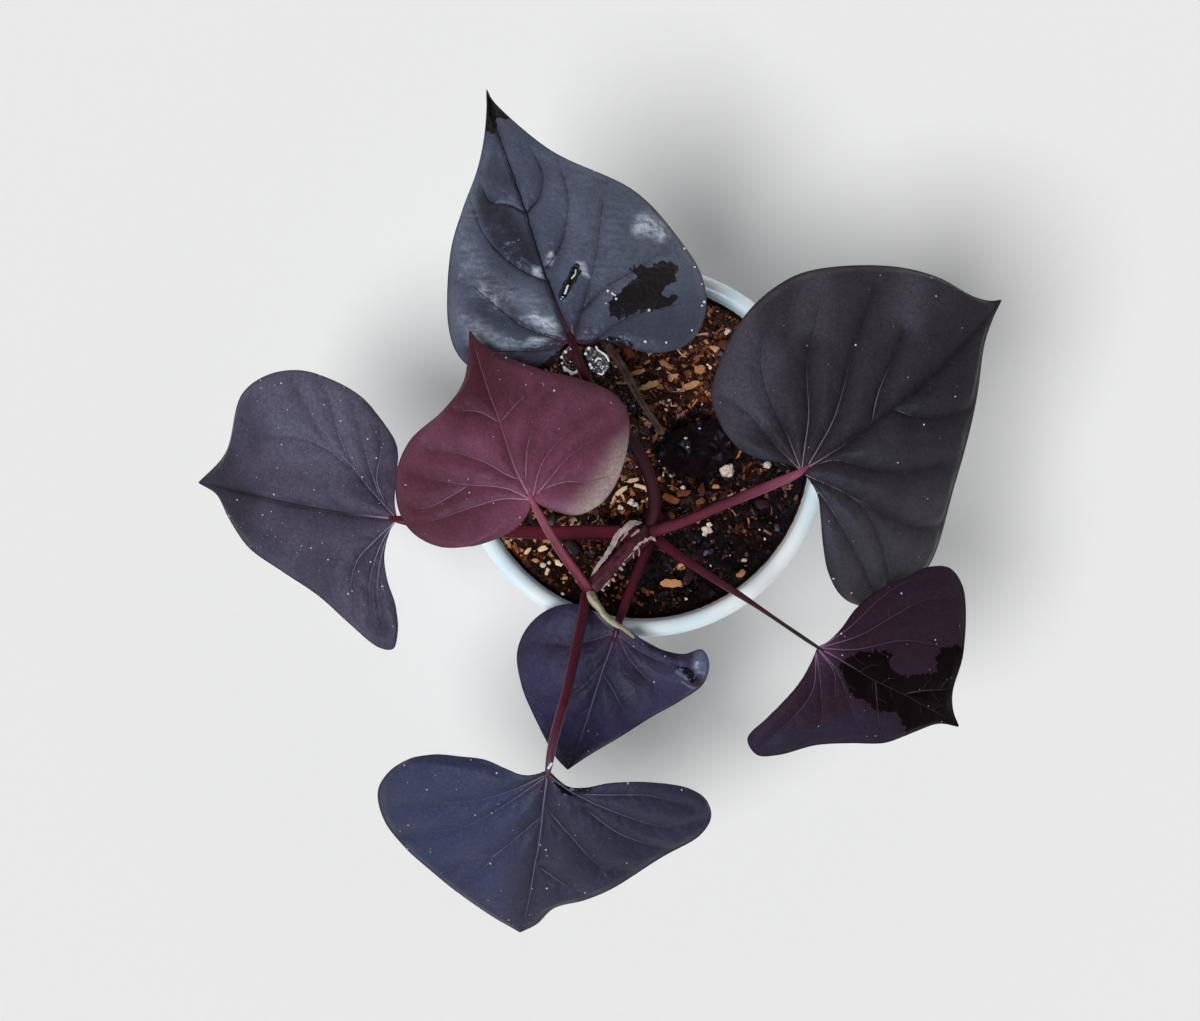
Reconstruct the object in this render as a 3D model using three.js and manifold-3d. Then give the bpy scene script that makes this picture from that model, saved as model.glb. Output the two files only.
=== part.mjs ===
// A young sweet potato vine with seven dark heart-shaped leaves, growing in a small white plastic pot.
// Millimetres, +Z up. The origin is the centre of the pot's underside, where the pot stands.
import * as THREE from "three";
import { mergeVertices } from "three/addons/utils/BufferGeometryUtils.js";
import Module from "manifold-3d";

const wasm = await Module();
wasm.setup();

// ---------------------------------------------------------------- driving dimensions

const SEAT_GAP = 0.3; // clearance that a piece keeps to what it grows from or rests on

// Pot: a tapered, moulded wall with a thick rounded rim.
const POT_HEIGHT = 95;
const RIM_RADIUS = 56;
const RIM_WIDTH = 5;
const RIM_BAND = 13; // height of the thicker band under the rim
const RIM_STEP = 3; // how far the band stands out from the wall
const RIM_EDGE = 0.8; // bevel under the band
const LIP_DEPTH = 13; // from the rim down to where the lip's inner face has thinned to the wall
const BASE_RADIUS = 37;
const WALL = 1.8;
const FLOOR = 2.4;
const CORNER = 3; // rounding between the wall and the base
const POT_SEGMENTS = 44;
const DRAIN_RADIUS = 3.5;
const DRAIN_CIRCLE = 22;
const DRAIN_COUNT = 4;

// Potting mix: a low, uneven surface with bark chips in it.
const SOIL_LEVEL = 86;
const SOIL_RINGS = 10;
const SOIL_SEGMENTS = 40;
const CHIP_COUNT = 34;
const CHIP_SIZE = [1.6, 3.6]; // smallest and largest half length of a chip
const CHIP_SHAPE = [1, 0.6, 0.42]; // length, width and height of a chip
const CHIP_SINK = 0.1; // height of a chip's middle over the mix, for its half length
const CHIP_MARGIN = 5; // kept between the chips' middles and the wall
const CHIP_SEED = 11;

// Blades.
const BLADE_THICKNESS = 0.7;
const ROWS = 14; // steps from the notch to the tip of a full-grown blade
const COLUMNS = 6; // steps from its midrib to the margin

// Petioles and stem.
const PETIOLE_SIDES = 8;
const STEM_SIDES = 10;

// Leaf outlines are plans seen from above, in millimetres from the hub where the petiole meets the blade:
// [along the midrib, to the left of it]. Each half has a notch, from the hub round to the end of its lobe,
// and a side, from the lobe to the tip, which is the midrib's last point.
// rise and sag shape the midrib: the height gained by the tip, then lost to bending. back is lost behind
// the hub, fold is gained beside the midrib, and each half's sag is lost at reach from the midrib.
// swells are soft rises and hollows: [along, left, radius, height].
const LEAVES = [
  {
    name: "back",
    colour: "#474c5a",
    hub: [-20.5, 29.5, 131],
    heading: 109,
    midrib: [[13, 1], [35.5, 0.5], [52.5, 1], [77.5, -0.5]],
    left: {
      notch: [[-0.5, 3], [-4.5, 7], [-4, 14]],
      side: [
        [-1, 22], [3, 29.5], [8.5, 32], [17.5, 31.5], [35, 24.5], [46, 17], [55.5, 9.5], [63, 5],
        [71, 1.5],
      ],
      sag: 13,
    },
    right: {
      notch: [[-2.5, -4], [-3, -8], [-6, -13], [-10.5, -21]],
      side: [
        [-11, -30], [-8, -35.5], [-1.5, -40], [8, -41.5], [21, -38], [35, -31], [54.5, -11.5],
        [73.5, -1],
      ],
      sag: 13,
    },
    reach: 37, rise: 2, sag: 14, back: 4, fold: 3,
    ripple: { height: 1.1, waves: 2.5 },
    swells: [],
  },
  {
    name: "right",
    colour: "#3b383f",
    hub: [43.5, -7, 134],
    heading: 40,
    midrib: [[9.5, -1.5], [31, -3], [55, -3], [77, 0]],
    left: {
      notch: [[-2, 4.5], [-6, 9], [-9, 15]],
      side: [
        [-9, 22.5], [-5.5, 32], [6.5, 40], [18.5, 44], [29.5, 44.5], [39.5, 42], [58, 28],
        [66.5, 17], [71, 6], [74, 2],
      ],
      sag: 10,
    },
    right: {
      notch: [[0, -4], [-1, -8.5], [-4, -13.5], [-8, -20], [-11.5, -27.5], [-12.5, -35.5]],
      side: [
        [-10, -42], [-4, -46.5], [5, -48.5], [14.5, -48], [33.5, -32], [53, -16], [64, -6.5],
        [71, -2.5],
      ],
      sag: 22,
    },
    reach: 36, rise: 3, sag: 18, back: 3, fold: 2,
    ripple: { height: 0.8, waves: 2 },
    swells: [],
  },
  {
    name: "left",
    colour: "#48435a",
    hub: [-71.5, -20.5, 113],
    heading: 170,
    midrib: [[16, 1], [35, 1], [54.5, 0], [63, 0]],
    left: {
      notch: [[1.5, 3.5], [2, 11], [0, 18], [-3.5, 25]],
      side: [
        [-5, 32], [-4.5, 38], [-0.5, 38.5], [9.5, 33], [20, 26.5], [32.5, 21], [43.5, 16],
        [51.5, 8.5], [56.5, 2.5],
      ],
      sag: 10,
    },
    right: {
      notch: [[1.5, -4], [2.5, -11], [3.5, -19.5]],
      side: [
        [6, -23.5], [11.5, -29], [17.5, -33.5], [27, -37], [38.5, -38.5], [48, -35.5],
        [54.5, -28.5], [56, -10.5],
      ],
      sag: 8,
    },
    reach: 34, rise: -8, sag: 12, back: 2, fold: 2,
    ripple: { height: 1.0, waves: 2 },
    swells: [],
  },
  {
    name: "young",
    colour: "#5c3342",
    hub: [-31.5, -15, 141],
    heading: 111,
    midrib: [[7, 1], [19, 0.5], [32, 0.5], [50.5, -0.5]],
    left: {
      notch: [[-2.5, 1.5], [-5.5, 6], [-6.5, 12]],
      side: [
        [-6, 19.5], [-3, 28.5], [3.5, 34.5], [11, 36], [20.5, 33], [27.5, 26], [32, 14], [37, 6.5],
        [43.5, 2.5],
      ],
      sag: 8,
    },
    right: {
      notch: [[-2.5, -2], [-5, -4.5], [-8.5, -10.5]],
      side: [
        [-7.5, -18], [-3.5, -24], [6, -31], [13.5, -33.5], [20, -31.5], [26.5, -24.5], [33, -15],
        [45.5, -2.5],
      ],
      sag: 8,
    },
    reach: 32, rise: 0, sag: 8, back: 5, fold: 2,
    ripple: { height: 0.9, waves: 2 },
    swells: [],
  },
  {
    name: "small",
    colour: "#423f58",
    hub: [-8, -54.5, 101],
    heading: -109,
    midrib: [[7.5, 0], [19.5, 0], [34.5, 0.5], [45, 0]],
    left: {
      notch: [[-2, 3], [-1, 8], [0, 15], [-1, 21]],
      side: [[-4, 25.5], [-1.5, 28.5], [5.5, 29.5], [13, 25], [21, 18], [29.5, 11.5], [38, 5]],
      sag: 5,
    },
    right: {
      notch: [[-1.5, -4], [-4.5, -10]],
      side: [[-4, -15.5], [0, -21.5], [7, -25.5], [15.5, -26], [24.5, -21.5], [31, -16], [42.5, -4.5]],
      sag: 6,
    },
    reach: 27, rise: -6, sag: 10, back: 2, fold: 2,
    ripple: { height: 0.7, waves: 2 },
    swells: [[-2, 29, 9, 6]],
  },
  {
    name: "front",
    colour: "#3c3d54",
    hub: [-27.5, -92, 121],
    heading: -100,
    midrib: [[12.5, 0.5], [27.5, 1], [43.5, 1], [56.5, 0]],
    left: {
      notch: [[2, 2.5], [4, 6.5], [3.5, 11.5], [1, 18], [-1, 29.5], [-0.5, 41.5]],
      side: [
        [2.5, 47], [7.5, 49.5], [13.5, 47.5], [22, 38], [34.5, 25], [40, 17.5], [45, 9],
        [52.5, 4.5],
      ],
      sag: 14,
    },
    right: {
      notch: [[2, -3], [3, -7], [2, -12], [0.5, -18.5], [1, -25.5], [2, -33]],
      side: [
        [5, -40], [10, -45.5], [17.5, -48.5], [27, -45.5], [34, -38.5], [40, -29], [46.5, -19],
        [52.5, -9],
      ],
      sag: 12,
    },
    reach: 45, rise: -22, sag: 18, back: 2, fold: 4,
    ripple: { height: 1.0, waves: 2 },
    swells: [],
  },
  {
    name: "wet",
    colour: "#3b2b3c",
    hub: [49.5, -57, 121],
    heading: -29,
    midrib: [[9, 0.5], [25.5, 0], [40.5, 0], [52.5, -0.5]],
    left: {
      notch: [[2, 3], [3.5, 8], [4.5, 15], [8, 23], [13.5, 30]],
      side: [[18.5, 36], [24.5, 39], [31, 36.5], [36, 30.5], [41.5, 18.5], [44.5, 8], [48, 3]],
      sag: 8,
    },
    right: {
      notch: [[0.5, -4], [0.5, -11.5], [-1, -19.5], [-2.5, -25.5]],
      side: [
        [-4, -33], [1, -36], [6.5, -33], [14.5, -25.5], [23.5, -20], [33, -15], [40, -8],
        [46, -2.5],
      ],
      sag: 14,
    },
    reach: 38, rise: -14, sag: 14, back: 2, fold: 3,
    ripple: { height: 0.9, waves: 2 },
    swells: [],
  },
];

// A dead leaf that lies collapsed on the potting mix: it follows the mix, with a few wrinkles.
const WILTED = {
  colour: "#1d1620",
  hub: [7, 4, 0],
  heading: -8,
  midrib: [[7, 0.5], [14, -0.5], [21, 0]],
  left: { notch: [[-0.5, 1.5], [2, 2.5]], side: [[7, 5], [15, 9], [18, 5.5]] },
  right: { notch: [[-0.5, -2], [-0.5, -6.5]], side: [[4, -10.5], [10, -11], [15, -8.5], [19.5, -5]] },
  ripple: { height: 0, waves: 1 },
  lift: 1.0, // clearance of its lowest folds over the mix
  wrinkle: 1.6,
  rows: 8,
  columns: 4,
};

// Petioles run from the stem to a leaf's hub: points along the axis, and the radius at each end.
const PETIOLES = [
  {
    name: "back",
    colour: "#4f1f2f",
    route: [[2.5, -23, 97], [3.5, -15, 103], [-0.5, -2.5, 112], [-9.5, 9.5, 121], [-16.5, 19, 129]],
    radii: [2.1, 1.5],
  },
  {
    name: "right",
    colour: "#80404f",
    route: [[2, -24.5, 98], [11, -21.5, 105], [22, -16.5, 117], [35, -11, 129]],
    radii: [2.1, 1.6],
  },
  {
    name: "left",
    colour: "#5a1b2e",
    route: [[0, -25.5, 95], [-12.5, -24.5, 99], [-30.5, -24.5, 104], [-53.5, -23, 109]],
    radii: [2.3, 1.6],
  },
  {
    name: "young",
    colour: "#8d4c5d",
    route: [[-16, -41.5, 103], [-19, -37, 110], [-24.5, -28.5, 124], [-29, -20, 137]],
    radii: [1.7, 1.3],
  },
  {
    name: "small",
    colour: "#4a1626",
    route: [[3, -26, 93], [0, -33, 96], [-4.5, -44, 99.5], [-7.5, -52, 101]],
    radii: [1.7, 1.3],
  },
  {
    name: "front",
    colour: "#3c1322",
    route: [
      [-16.5, -42, 102], [-17.5, -47.5, 107], [-19.5, -57, 113], [-22.5, -71, 119], [-26, -83.5, 121.5],
    ],
    radii: [1.7, 1.3],
  },
  {
    name: "wet",
    colour: "#5b2638",
    route: [[4, -26, 96], [11, -31.5, 101], [22.5, -39, 108], [31, -44.5, 114], [42, -52, 119.5]],
    radii: [1.8, 0.9],
  },
];
const PETIOLE_STEPS = 12;

const STEM_ROUTE = [
  [7.5, -19, 70], [5.5, -20, 84], [2.5, -24, 95],
  [-2, -28, 99], [-9, -34.5, 101], [-16, -41.5, 103],
];
const STEM_RADII = [3.2, 2.3];
const STEM_STEPS = 18;
// Swollen joints of the stem, where petioles grow: [x, y, z, radius].
const STEM_JOINTS = [[2.5, -24, 95.5, 3.6], [-16, -41.5, 103, 2.7]];
// A ragged ridge of dry root nubs down one flank of the stem.
const NUB_COUNT = 7;
const NUB_RADIUS = 0.75;
const NUB_LENGTH = 1.7;
const NUB_SPAN = [0.52, 0.93]; // along the stem
const NUB_FLANK = [0.62, -0.62, 0.35]; // direction in which they point

const SHOOT = {
  route: [
    [-16, -42, 103.5], [-14.5, -44.5, 106.5], [-10, -50, 107.5], [-5.5, -53, 106.5],
    [-2.5, -55.5, 106],
  ],
  radii: [1.3, 0.5],
  steps: 10,
};
// A strip of dry bark that peels away beside the stem, held at both ends.
const BARK = {
  route: [
    [-0.6, -22.6, 98.2], [-3.8, -21.9, 100.5], [-7.7, -25.7, 102], [-10.2, -29.9, 103],
    [-12, -32.7, 103.5], [-14.8, -37.5, 104],
  ],
  radii: [1.0, 0.5],
  steps: 12,
};
const DEAD_PETIOLE = {
  route: [[-13.5, 38.5, 78], [-11.5, 33.5, 90], [-6.5, 26, 94], [0, 14.5, 93], [6.5, 5, 90.6]],
  radii: [1.4, 1.0],
  steps: 12,
};

// ---------------------------------------------------------------- solids

function solidOf(geometry) {
  const bare = geometry.clone();
  bare.deleteAttribute("normal");
  bare.deleteAttribute("uv");
  const merged = mergeVertices(bare, 1e-4);
  return new wasm.Manifold(
    new wasm.Mesh({
      numProp: 3,
      vertProperties: merged.attributes.position.array,
      triVerts: new Uint32Array(merged.index.array),
    }),
  );
}

function geometryOf(solid) {
  const mesh = solid.getMesh();
  const positions = new Float32Array(mesh.numVert * 3);
  for (let i = 0; i < mesh.numVert; i++)
    positions.set(mesh.vertProperties.subarray(i * mesh.numProp, i * mesh.numProp + 3), i * 3);
  const geometry = new THREE.BufferGeometry();
  geometry.setAttribute("position", new THREE.BufferAttribute(positions, 3));
  geometry.setIndex(new THREE.BufferAttribute(mesh.triVerts, 1));
  return geometry;
}

// The largest body of a cut piece: loose scraps are dropped.
function mainBody(solid) {
  return solid.decompose().reduce((best, body) => (body.volume() > best.volume() ? body : best));
}

function indexedGeometry(vertices, faces) {
  const geometry = new THREE.BufferGeometry();
  const coordinates = vertices.flatMap((vertex) => vertex.toArray());
  geometry.setAttribute("position", new THREE.Float32BufferAttribute(coordinates, 3));
  geometry.setIndex(faces);
  return geometry;
}

function curveThrough(points) {
  const vectors = points.map((p) => new THREE.Vector3(p[0], p[1], p[2] ?? 0));
  return new THREE.CatmullRomCurve3(vectors, false, "centripetal");
}

// A tapered rod along a route, closed at both ends. flatten squashes its section along the frame's normal.
function rod(route, radii, sides, steps, flatten = 1) {
  const curve = curveThrough(route);
  const frames = curve.computeFrenetFrames(steps, false);
  const vertices = [];
  const faces = [];
  for (let k = 0; k <= steps; k++) {
    const centre = curve.getPointAt(k / steps);
    const radius = THREE.MathUtils.lerp(radii[0], radii[1], k / steps);
    for (let j = 0; j < sides; j++) {
      const angle = (2 * Math.PI * j) / sides;
      vertices.push(
        centre
          .clone()
          .addScaledVector(frames.normals[k], radius * flatten * Math.cos(angle))
          .addScaledVector(frames.binormals[k], radius * Math.sin(angle)),
      );
    }
  }
  const at = (k, j) => k * sides + (j % sides);
  for (let k = 0; k < steps; k++)
    for (let j = 0; j < sides; j++) {
      faces.push(at(k, j), at(k, j + 1), at(k + 1, j + 1));
      faces.push(at(k, j), at(k + 1, j + 1), at(k + 1, j));
    }
  for (let j = 1; j < sides - 1; j++) {
    faces.push(at(0, 0), at(0, j + 1), at(0, j));
    faces.push(at(steps, 0), at(steps, j), at(steps, j + 1));
  }
  return solidOf(indexedGeometry(vertices, faces));
}

function ball(x, y, z, radius) {
  return solidOf(new THREE.IcosahedronGeometry(radius, 1).translate(x, y, z));
}

// ---------------------------------------------------------------- pot and potting mix

const wallAt = (z) => THREE.MathUtils.lerp(BASE_RADIUS, RIM_RADIUS - RIM_STEP, z / POT_HEIGHT);
const innerAt = (z) => wallAt(z) - WALL;

function potSolid() {
  const band = POT_HEIGHT - RIM_BAND;
  const lip = RIM_WIDTH / 2;
  const profile = [new THREE.Vector2(0, 0)];
  for (let i = 0; i <= 3; i++) {
    const turn = (i / 3) * (Math.PI / 2);
    const radius = BASE_RADIUS - CORNER * (1 - Math.sin(turn));
    profile.push(new THREE.Vector2(radius, CORNER * (1 - Math.cos(turn))));
  }
  profile.push(new THREE.Vector2(wallAt(band), band));
  profile.push(new THREE.Vector2(RIM_RADIUS - RIM_EDGE, band + RIM_EDGE));
  for (let i = 0; i <= 6; i++) {
    const turn = (i / 6) * Math.PI;
    const radius = RIM_RADIUS - lip * (1 - Math.cos(turn));
    profile.push(new THREE.Vector2(radius, POT_HEIGHT - lip * (1 - Math.sin(turn))));
  }
  profile.push(new THREE.Vector2(innerAt(POT_HEIGHT - LIP_DEPTH), POT_HEIGHT - LIP_DEPTH));
  profile.push(new THREE.Vector2(innerAt(FLOOR), FLOOR));
  profile.push(new THREE.Vector2(0, FLOOR));
  let pot = solidOf(new THREE.LatheGeometry(profile, POT_SEGMENTS).rotateX(Math.PI / 2));
  for (let i = 0; i < DRAIN_COUNT; i++) {
    const angle = ((i + 0.5) / DRAIN_COUNT) * 2 * Math.PI;
    const drill = new THREE.CylinderGeometry(DRAIN_RADIUS, DRAIN_RADIUS, FLOOR * 4, 20);
    drill.rotateX(Math.PI / 2).translate(DRAIN_CIRCLE * Math.cos(angle), DRAIN_CIRCLE * Math.sin(angle), 0);
    pot = pot.subtract(solidOf(drill));
  }
  return pot;
}

// The uneven top of the mix: three crossing swells.
function mixHeight(x, y) {
  const swells = 0.7 * Math.sin(0.21 * x + 0.13 * y) + 0.6 * Math.sin(0.17 * y - 0.25 * x + 1.3);
  return SOIL_LEVEL + swells + 0.35 * Math.sin(0.55 * x + 0.4) * Math.sin(0.5 * y);
}

function seededRandom(seed) {
  let state = seed;
  return () => {
    state = (state + 0x6d2b79f5) | 0;
    let t = Math.imul(state ^ (state >>> 15), 1 | state);
    t = (t + Math.imul(t ^ (t >>> 7), 61 | t)) ^ t;
    return ((t ^ (t >>> 14)) >>> 0) / 4294967296;
  };
}

// Places kept free of chips: [x, y, radius] round the stem, the dead petiole and the wilted leaf.
const KEPT_FREE = [[4, -22, 9], [-12, 34, 4], [-6, 25, 4.5], [-1, 15, 4.5], [17, 2, 16]];

function chipSolids() {
  const random = seededRandom(CHIP_SEED);
  const chips = [];
  while (chips.length < CHIP_COUNT) {
    const radius = (innerAt(SOIL_LEVEL) - CHIP_MARGIN) * Math.sqrt(random());
    const angle = 2 * Math.PI * random();
    const [x, y] = [radius * Math.cos(angle), radius * Math.sin(angle)];
    const length = THREE.MathUtils.lerp(CHIP_SIZE[0], CHIP_SIZE[1], random());
    const [turn, tilt] = [Math.PI * random(), 0.5 * (random() - 0.5)];
    if (KEPT_FREE.some(([fx, fy, reach]) => Math.hypot(x - fx, y - fy) < reach)) continue;
    const chip = new THREE.IcosahedronGeometry(1, 0).scale(...CHIP_SHAPE.map((part) => part * length));
    chip.rotateY(tilt).rotateZ(turn).translate(x, y, mixHeight(x, y) + CHIP_SINK * length);
    chips.push(solidOf(chip));
  }
  return chips;
}

function mixSolid() {
  const reach = (z) => innerAt(z) - SEAT_GAP;
  const edge = reach(SOIL_LEVEL - 2);
  const bottom = FLOOR + SEAT_GAP;
  const vertices = [new THREE.Vector3(0, 0, mixHeight(0, 0))];
  const faces = [];
  for (let ring = 1; ring <= SOIL_RINGS; ring++)
    for (let k = 0; k < SOIL_SEGMENTS; k++) {
      const angle = (2 * Math.PI * k) / SOIL_SEGMENTS;
      const radius = (edge * ring) / SOIL_RINGS;
      const [x, y] = [radius * Math.cos(angle), radius * Math.sin(angle)];
      vertices.push(new THREE.Vector3(x, y, mixHeight(x, y)));
    }
  for (let k = 0; k < SOIL_SEGMENTS; k++) {
    const angle = (2 * Math.PI * k) / SOIL_SEGMENTS;
    const radius = reach(bottom);
    vertices.push(new THREE.Vector3(radius * Math.cos(angle), radius * Math.sin(angle), bottom));
  }
  vertices.push(new THREE.Vector3(0, 0, bottom));
  const at = (ring, k) => 1 + (ring - 1) * SOIL_SEGMENTS + (k % SOIL_SEGMENTS);
  for (let k = 0; k < SOIL_SEGMENTS; k++) {
    faces.push(0, at(1, k), at(1, k + 1));
    for (let ring = 1; ring <= SOIL_RINGS; ring++) {
      faces.push(at(ring, k), at(ring + 1, k), at(ring + 1, k + 1));
      faces.push(at(ring, k), at(ring + 1, k + 1), at(ring, k + 1));
    }
    faces.push(vertices.length - 1, at(SOIL_RINGS + 1, k + 1), at(SOIL_RINGS + 1, k));
  }
  let mix = solidOf(indexedGeometry(vertices, faces));
  for (const chip of chipSolids()) mix = mix.add(chip);
  return mix;
}

// ---------------------------------------------------------------- blades

function planCurves(leaf) {
  const tip = leaf.midrib.at(-1);
  const half = (side) => {
    const lobeEnd = side.side[0];
    return {
      notch: curveThrough([[0, 0], ...side.notch, lobeEnd]),
      margin: curveThrough([...side.side, tip]),
      lobeEnd: new THREE.Vector3(lobeEnd[0], lobeEnd[1], 0),
    };
  };
  return { midrib: curveThrough([[0, 0], ...leaf.midrib]), left: half(leaf.left), right: half(leaf.right) };
}

// A point of the blade in plan: s runs from the notch to the tip, t from the midrib to the margin.
function planPoint(curves, half, s, t) {
  const point = curves.midrib.getPointAt(s).multiplyScalar(1 - t);
  point.addScaledVector(half.margin.getPointAt(s), t);
  point.addScaledVector(half.notch.getPointAt(t), 1 - s);
  return point.addScaledVector(half.lobeEnd, -(1 - s) * t);
}

function bladeHeight(leaf, along, left) {
  const forward = along / leaf.midrib.at(-1)[0];
  const across = left / leaf.reach;
  const bend = forward > 0 ? leaf.sag : leaf.back;
  const halfSag = left > 0 ? leaf.left.sag : leaf.right.sag;
  let height = leaf.hub[2] + leaf.rise * forward - bend * forward ** 2;
  height += leaf.fold * Math.abs(across) - halfSag * across ** 2;
  for (const [a, b, radius, swell] of leaf.swells)
    height += swell * Math.exp(-((along - a) ** 2 + (left - b) ** 2) / radius ** 2);
  return height;
}

function wiltedHeight(leaf, x, y) {
  const folds = Math.abs(Math.sin(0.55 * x - 0.3 * y)) + 0.5 * Math.abs(Math.sin(0.8 * y + 0.25 * x));
  return mixHeight(x, y) + leaf.lift + leaf.wrinkle * folds;
}

// The blade's middle surface in the part's frame, as rows of points from the notch to the tip.
function bladeRows(leaf, heightAt, steps, spread) {
  const curves = planCurves(leaf);
  const heading = THREE.MathUtils.degToRad(leaf.heading);
  const place = (half, s, t) => {
    const plan = planPoint(curves, half, s, t);
    const x = leaf.hub[0] + plan.x * Math.cos(heading) - plan.y * Math.sin(heading);
    const y = leaf.hub[1] + plan.x * Math.sin(heading) + plan.y * Math.cos(heading);
    const wave = leaf.ripple.height * t * t * Math.sin(2 * Math.PI * leaf.ripple.waves * s);
    return new THREE.Vector3(x, y, heightAt(plan.x, plan.y, x, y) + wave);
  };
  const rows = [];
  for (let i = 0; i < steps; i++) {
    const row = [];
    for (let j = -spread; j <= spread; j++)
      row.push(place(j < 0 ? curves.right : curves.left, i / steps, Math.abs(j) / spread));
    rows.push(row);
  }
  rows.push([place(curves.left, 1, 0)]);
  return rows;
}

// A blade of even thickness. extra grows it on every side, to cut clearance for what meets it.
function bladeSolid(leaf, heightAt, extra = 0) {
  const steps = leaf.rows ?? ROWS;
  const spread = leaf.columns ?? COLUMNS;
  const width = 2 * spread + 1;
  const points = bladeRows(leaf, heightAt, steps, spread).flat();
  const tip = points.length - 1;
  const at = (i, j) => (i === steps ? tip : i * width + j);
  const faces = [];
  for (let i = 0; i < steps; i++)
    for (let j = 0; j < width - 1; j++) {
      const [a, b, c, d] = [at(i, j), at(i + 1, j), at(i + 1, j + 1), at(i, j + 1)];
      if (b === c) faces.push([a, b, d]);
      else if (j < spread) faces.push([a, b, c], [a, c, d]);
      else faces.push([a, b, d], [b, c, d]);
    }
  const skin = indexedGeometry(points, faces.flat());
  skin.computeVertexNormals();
  const normals = skin.getAttribute("normal");
  const outward = points.map(() => new THREE.Vector3());
  const push = (edge, inner) => outward[edge].add(points[edge].clone().sub(points[inner]).normalize());
  for (let i = 0; i < steps; i++) {
    push(at(i, 0), at(i, 1));
    push(at(i, width - 1), at(i, width - 2));
  }
  for (let j = 0; j < width; j++) push(at(0, j), at(1, j));
  push(tip, at(steps - 1, spread));
  const half = BLADE_THICKNESS / 2 + extra;
  const layer = (side) =>
    points.map((point, i) => {
      const normal = new THREE.Vector3().fromBufferAttribute(normals, i);
      return point.clone().addScaledVector(outward[i], extra).addScaledVector(normal, side * half);
    });
  const vertices = [...layer(1), ...layer(-1)];
  const under = points.length;
  const shell = [];
  for (const [a, b, c] of faces) shell.push(a, b, c, under + a, under + c, under + b);
  const loop = [];
  for (let i = 0; i < steps; i++) loop.push(at(i, 0));
  loop.push(tip);
  for (let i = steps - 1; i >= 0; i--) loop.push(at(i, width - 1));
  for (let j = width - 2; j > 0; j--) loop.push(at(0, j));
  loop.forEach((p, n) => {
    const q = loop[(n + 1) % loop.length];
    shell.push(under + p, under + q, q, under + p, q, p);
  });
  return solidOf(indexedGeometry(vertices, shell));
}

const leafSolid = (leaf, extra) => bladeSolid(leaf, (along, left) => bladeHeight(leaf, along, left), extra);
const wiltedSolid = (extra) => bladeSolid(WILTED, (along, left, x, y) => wiltedHeight(WILTED, x, y), extra);

// ---------------------------------------------------------------- stem and petioles

function stemSolid(extra = 0) {
  const curve = curveThrough(STEM_ROUTE);
  let stem = rod(STEM_ROUTE, STEM_RADII.map((r) => r + extra), STEM_SIDES, STEM_STEPS);
  for (const [x, y, z, radius] of STEM_JOINTS) stem = stem.add(ball(x, y, z, radius + extra));
  const flank = new THREE.Vector3(...NUB_FLANK).normalize();
  for (let i = 0; i < NUB_COUNT; i++) {
    const root = curve.getPointAt(THREE.MathUtils.lerp(NUB_SPAN[0], NUB_SPAN[1], i / (NUB_COUNT - 1)));
    const sway = 0.25 * Math.sin(2.4 * i);
    const reach = STEM_RADII[1] + NUB_LENGTH * (0.6 + 0.4 * Math.sin(5.1 * i + 1));
    const point = flank.clone().add(new THREE.Vector3(sway, sway, 0)).multiplyScalar(reach + extra);
    const nub = [root.toArray(), root.clone().add(point).toArray()];
    stem = stem.add(rod(nub, [NUB_RADIUS + extra, NUB_RADIUS * 0.5 + extra], 5, 1));
  }
  return stem;
}

function petioleSolid(petiole, extra = 0) {
  const hub = LEAVES.find((leaf) => leaf.name === petiole.name).hub;
  const radii = petiole.radii.map((r) => r + extra);
  return rod([...petiole.route, hub], radii, PETIOLE_SIDES, PETIOLE_STEPS);
}

const twigSolid = (twig, flatten, extra = 0) =>
  rod(twig.route, twig.radii.map((r) => r + extra), PETIOLE_SIDES, twig.steps, flatten);

// ---------------------------------------------------------------- assembly

const plant = new THREE.Group();

function addPiece(name, solid, colour, roughness) {
  const material = new THREE.MeshStandardMaterial({ color: colour, roughness, metalness: 0 });
  const mesh = new THREE.Mesh(geometryOf(solid), material);
  mesh.name = name;
  plant.add(mesh);
}

addPiece("pot", potSolid(), "#e4eef5", 0.25);

const holes = stemSolid(SEAT_GAP).add(twigSolid(DEAD_PETIOLE, 1, SEAT_GAP));
addPiece("potting_mix", mainBody(mixSolid().subtract(holes)), "#2a1a14", 0.95);

addPiece("main_stem", stemSolid(), "#5b3240", 0.6);
const stemClearance = stemSolid(SEAT_GAP);

const seated = [];
for (const petiole of PETIOLES) {
  const leaf = LEAVES.find((one) => one.name === petiole.name);
  let solid = petioleSolid(petiole).subtract(stemClearance).subtract(leafSolid(leaf, SEAT_GAP));
  for (const earlier of seated) solid = solid.subtract(earlier);
  addPiece("petiole_" + petiole.name, mainBody(solid), petiole.colour, 0.45);
  seated.push(petioleSolid(petiole, SEAT_GAP));
}
for (const leaf of LEAVES) addPiece("leaf_" + leaf.name, leafSolid(leaf), leaf.colour, 0.4);

const petiolesClearance = seated.reduce((all, one) => all.add(one));
const shoot = twigSolid(SHOOT, 1).subtract(stemClearance).subtract(petiolesClearance);
addPiece("young_shoot", mainBody(shoot), "#c3c29a", 0.5);
const bark = twigSolid(BARK, 0.5).subtract(stemClearance).subtract(petiolesClearance);
addPiece("bark_strip", mainBody(bark), "#a39a9c", 0.9);

addPiece("wilted_leaf", wiltedSolid(0), WILTED.colour, 0.3);
const deadPetiole = twigSolid(DEAD_PETIOLE, 1).subtract(wiltedSolid(SEAT_GAP));
addPiece("dead_petiole", mainBody(deadPetiole), "#5a4038", 0.85);

export default plant;
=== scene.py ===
import logging
import math
from collections.abc import Callable, Iterator
from dataclasses import dataclass
from enum import Enum
from functools import cached_property, partial

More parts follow.
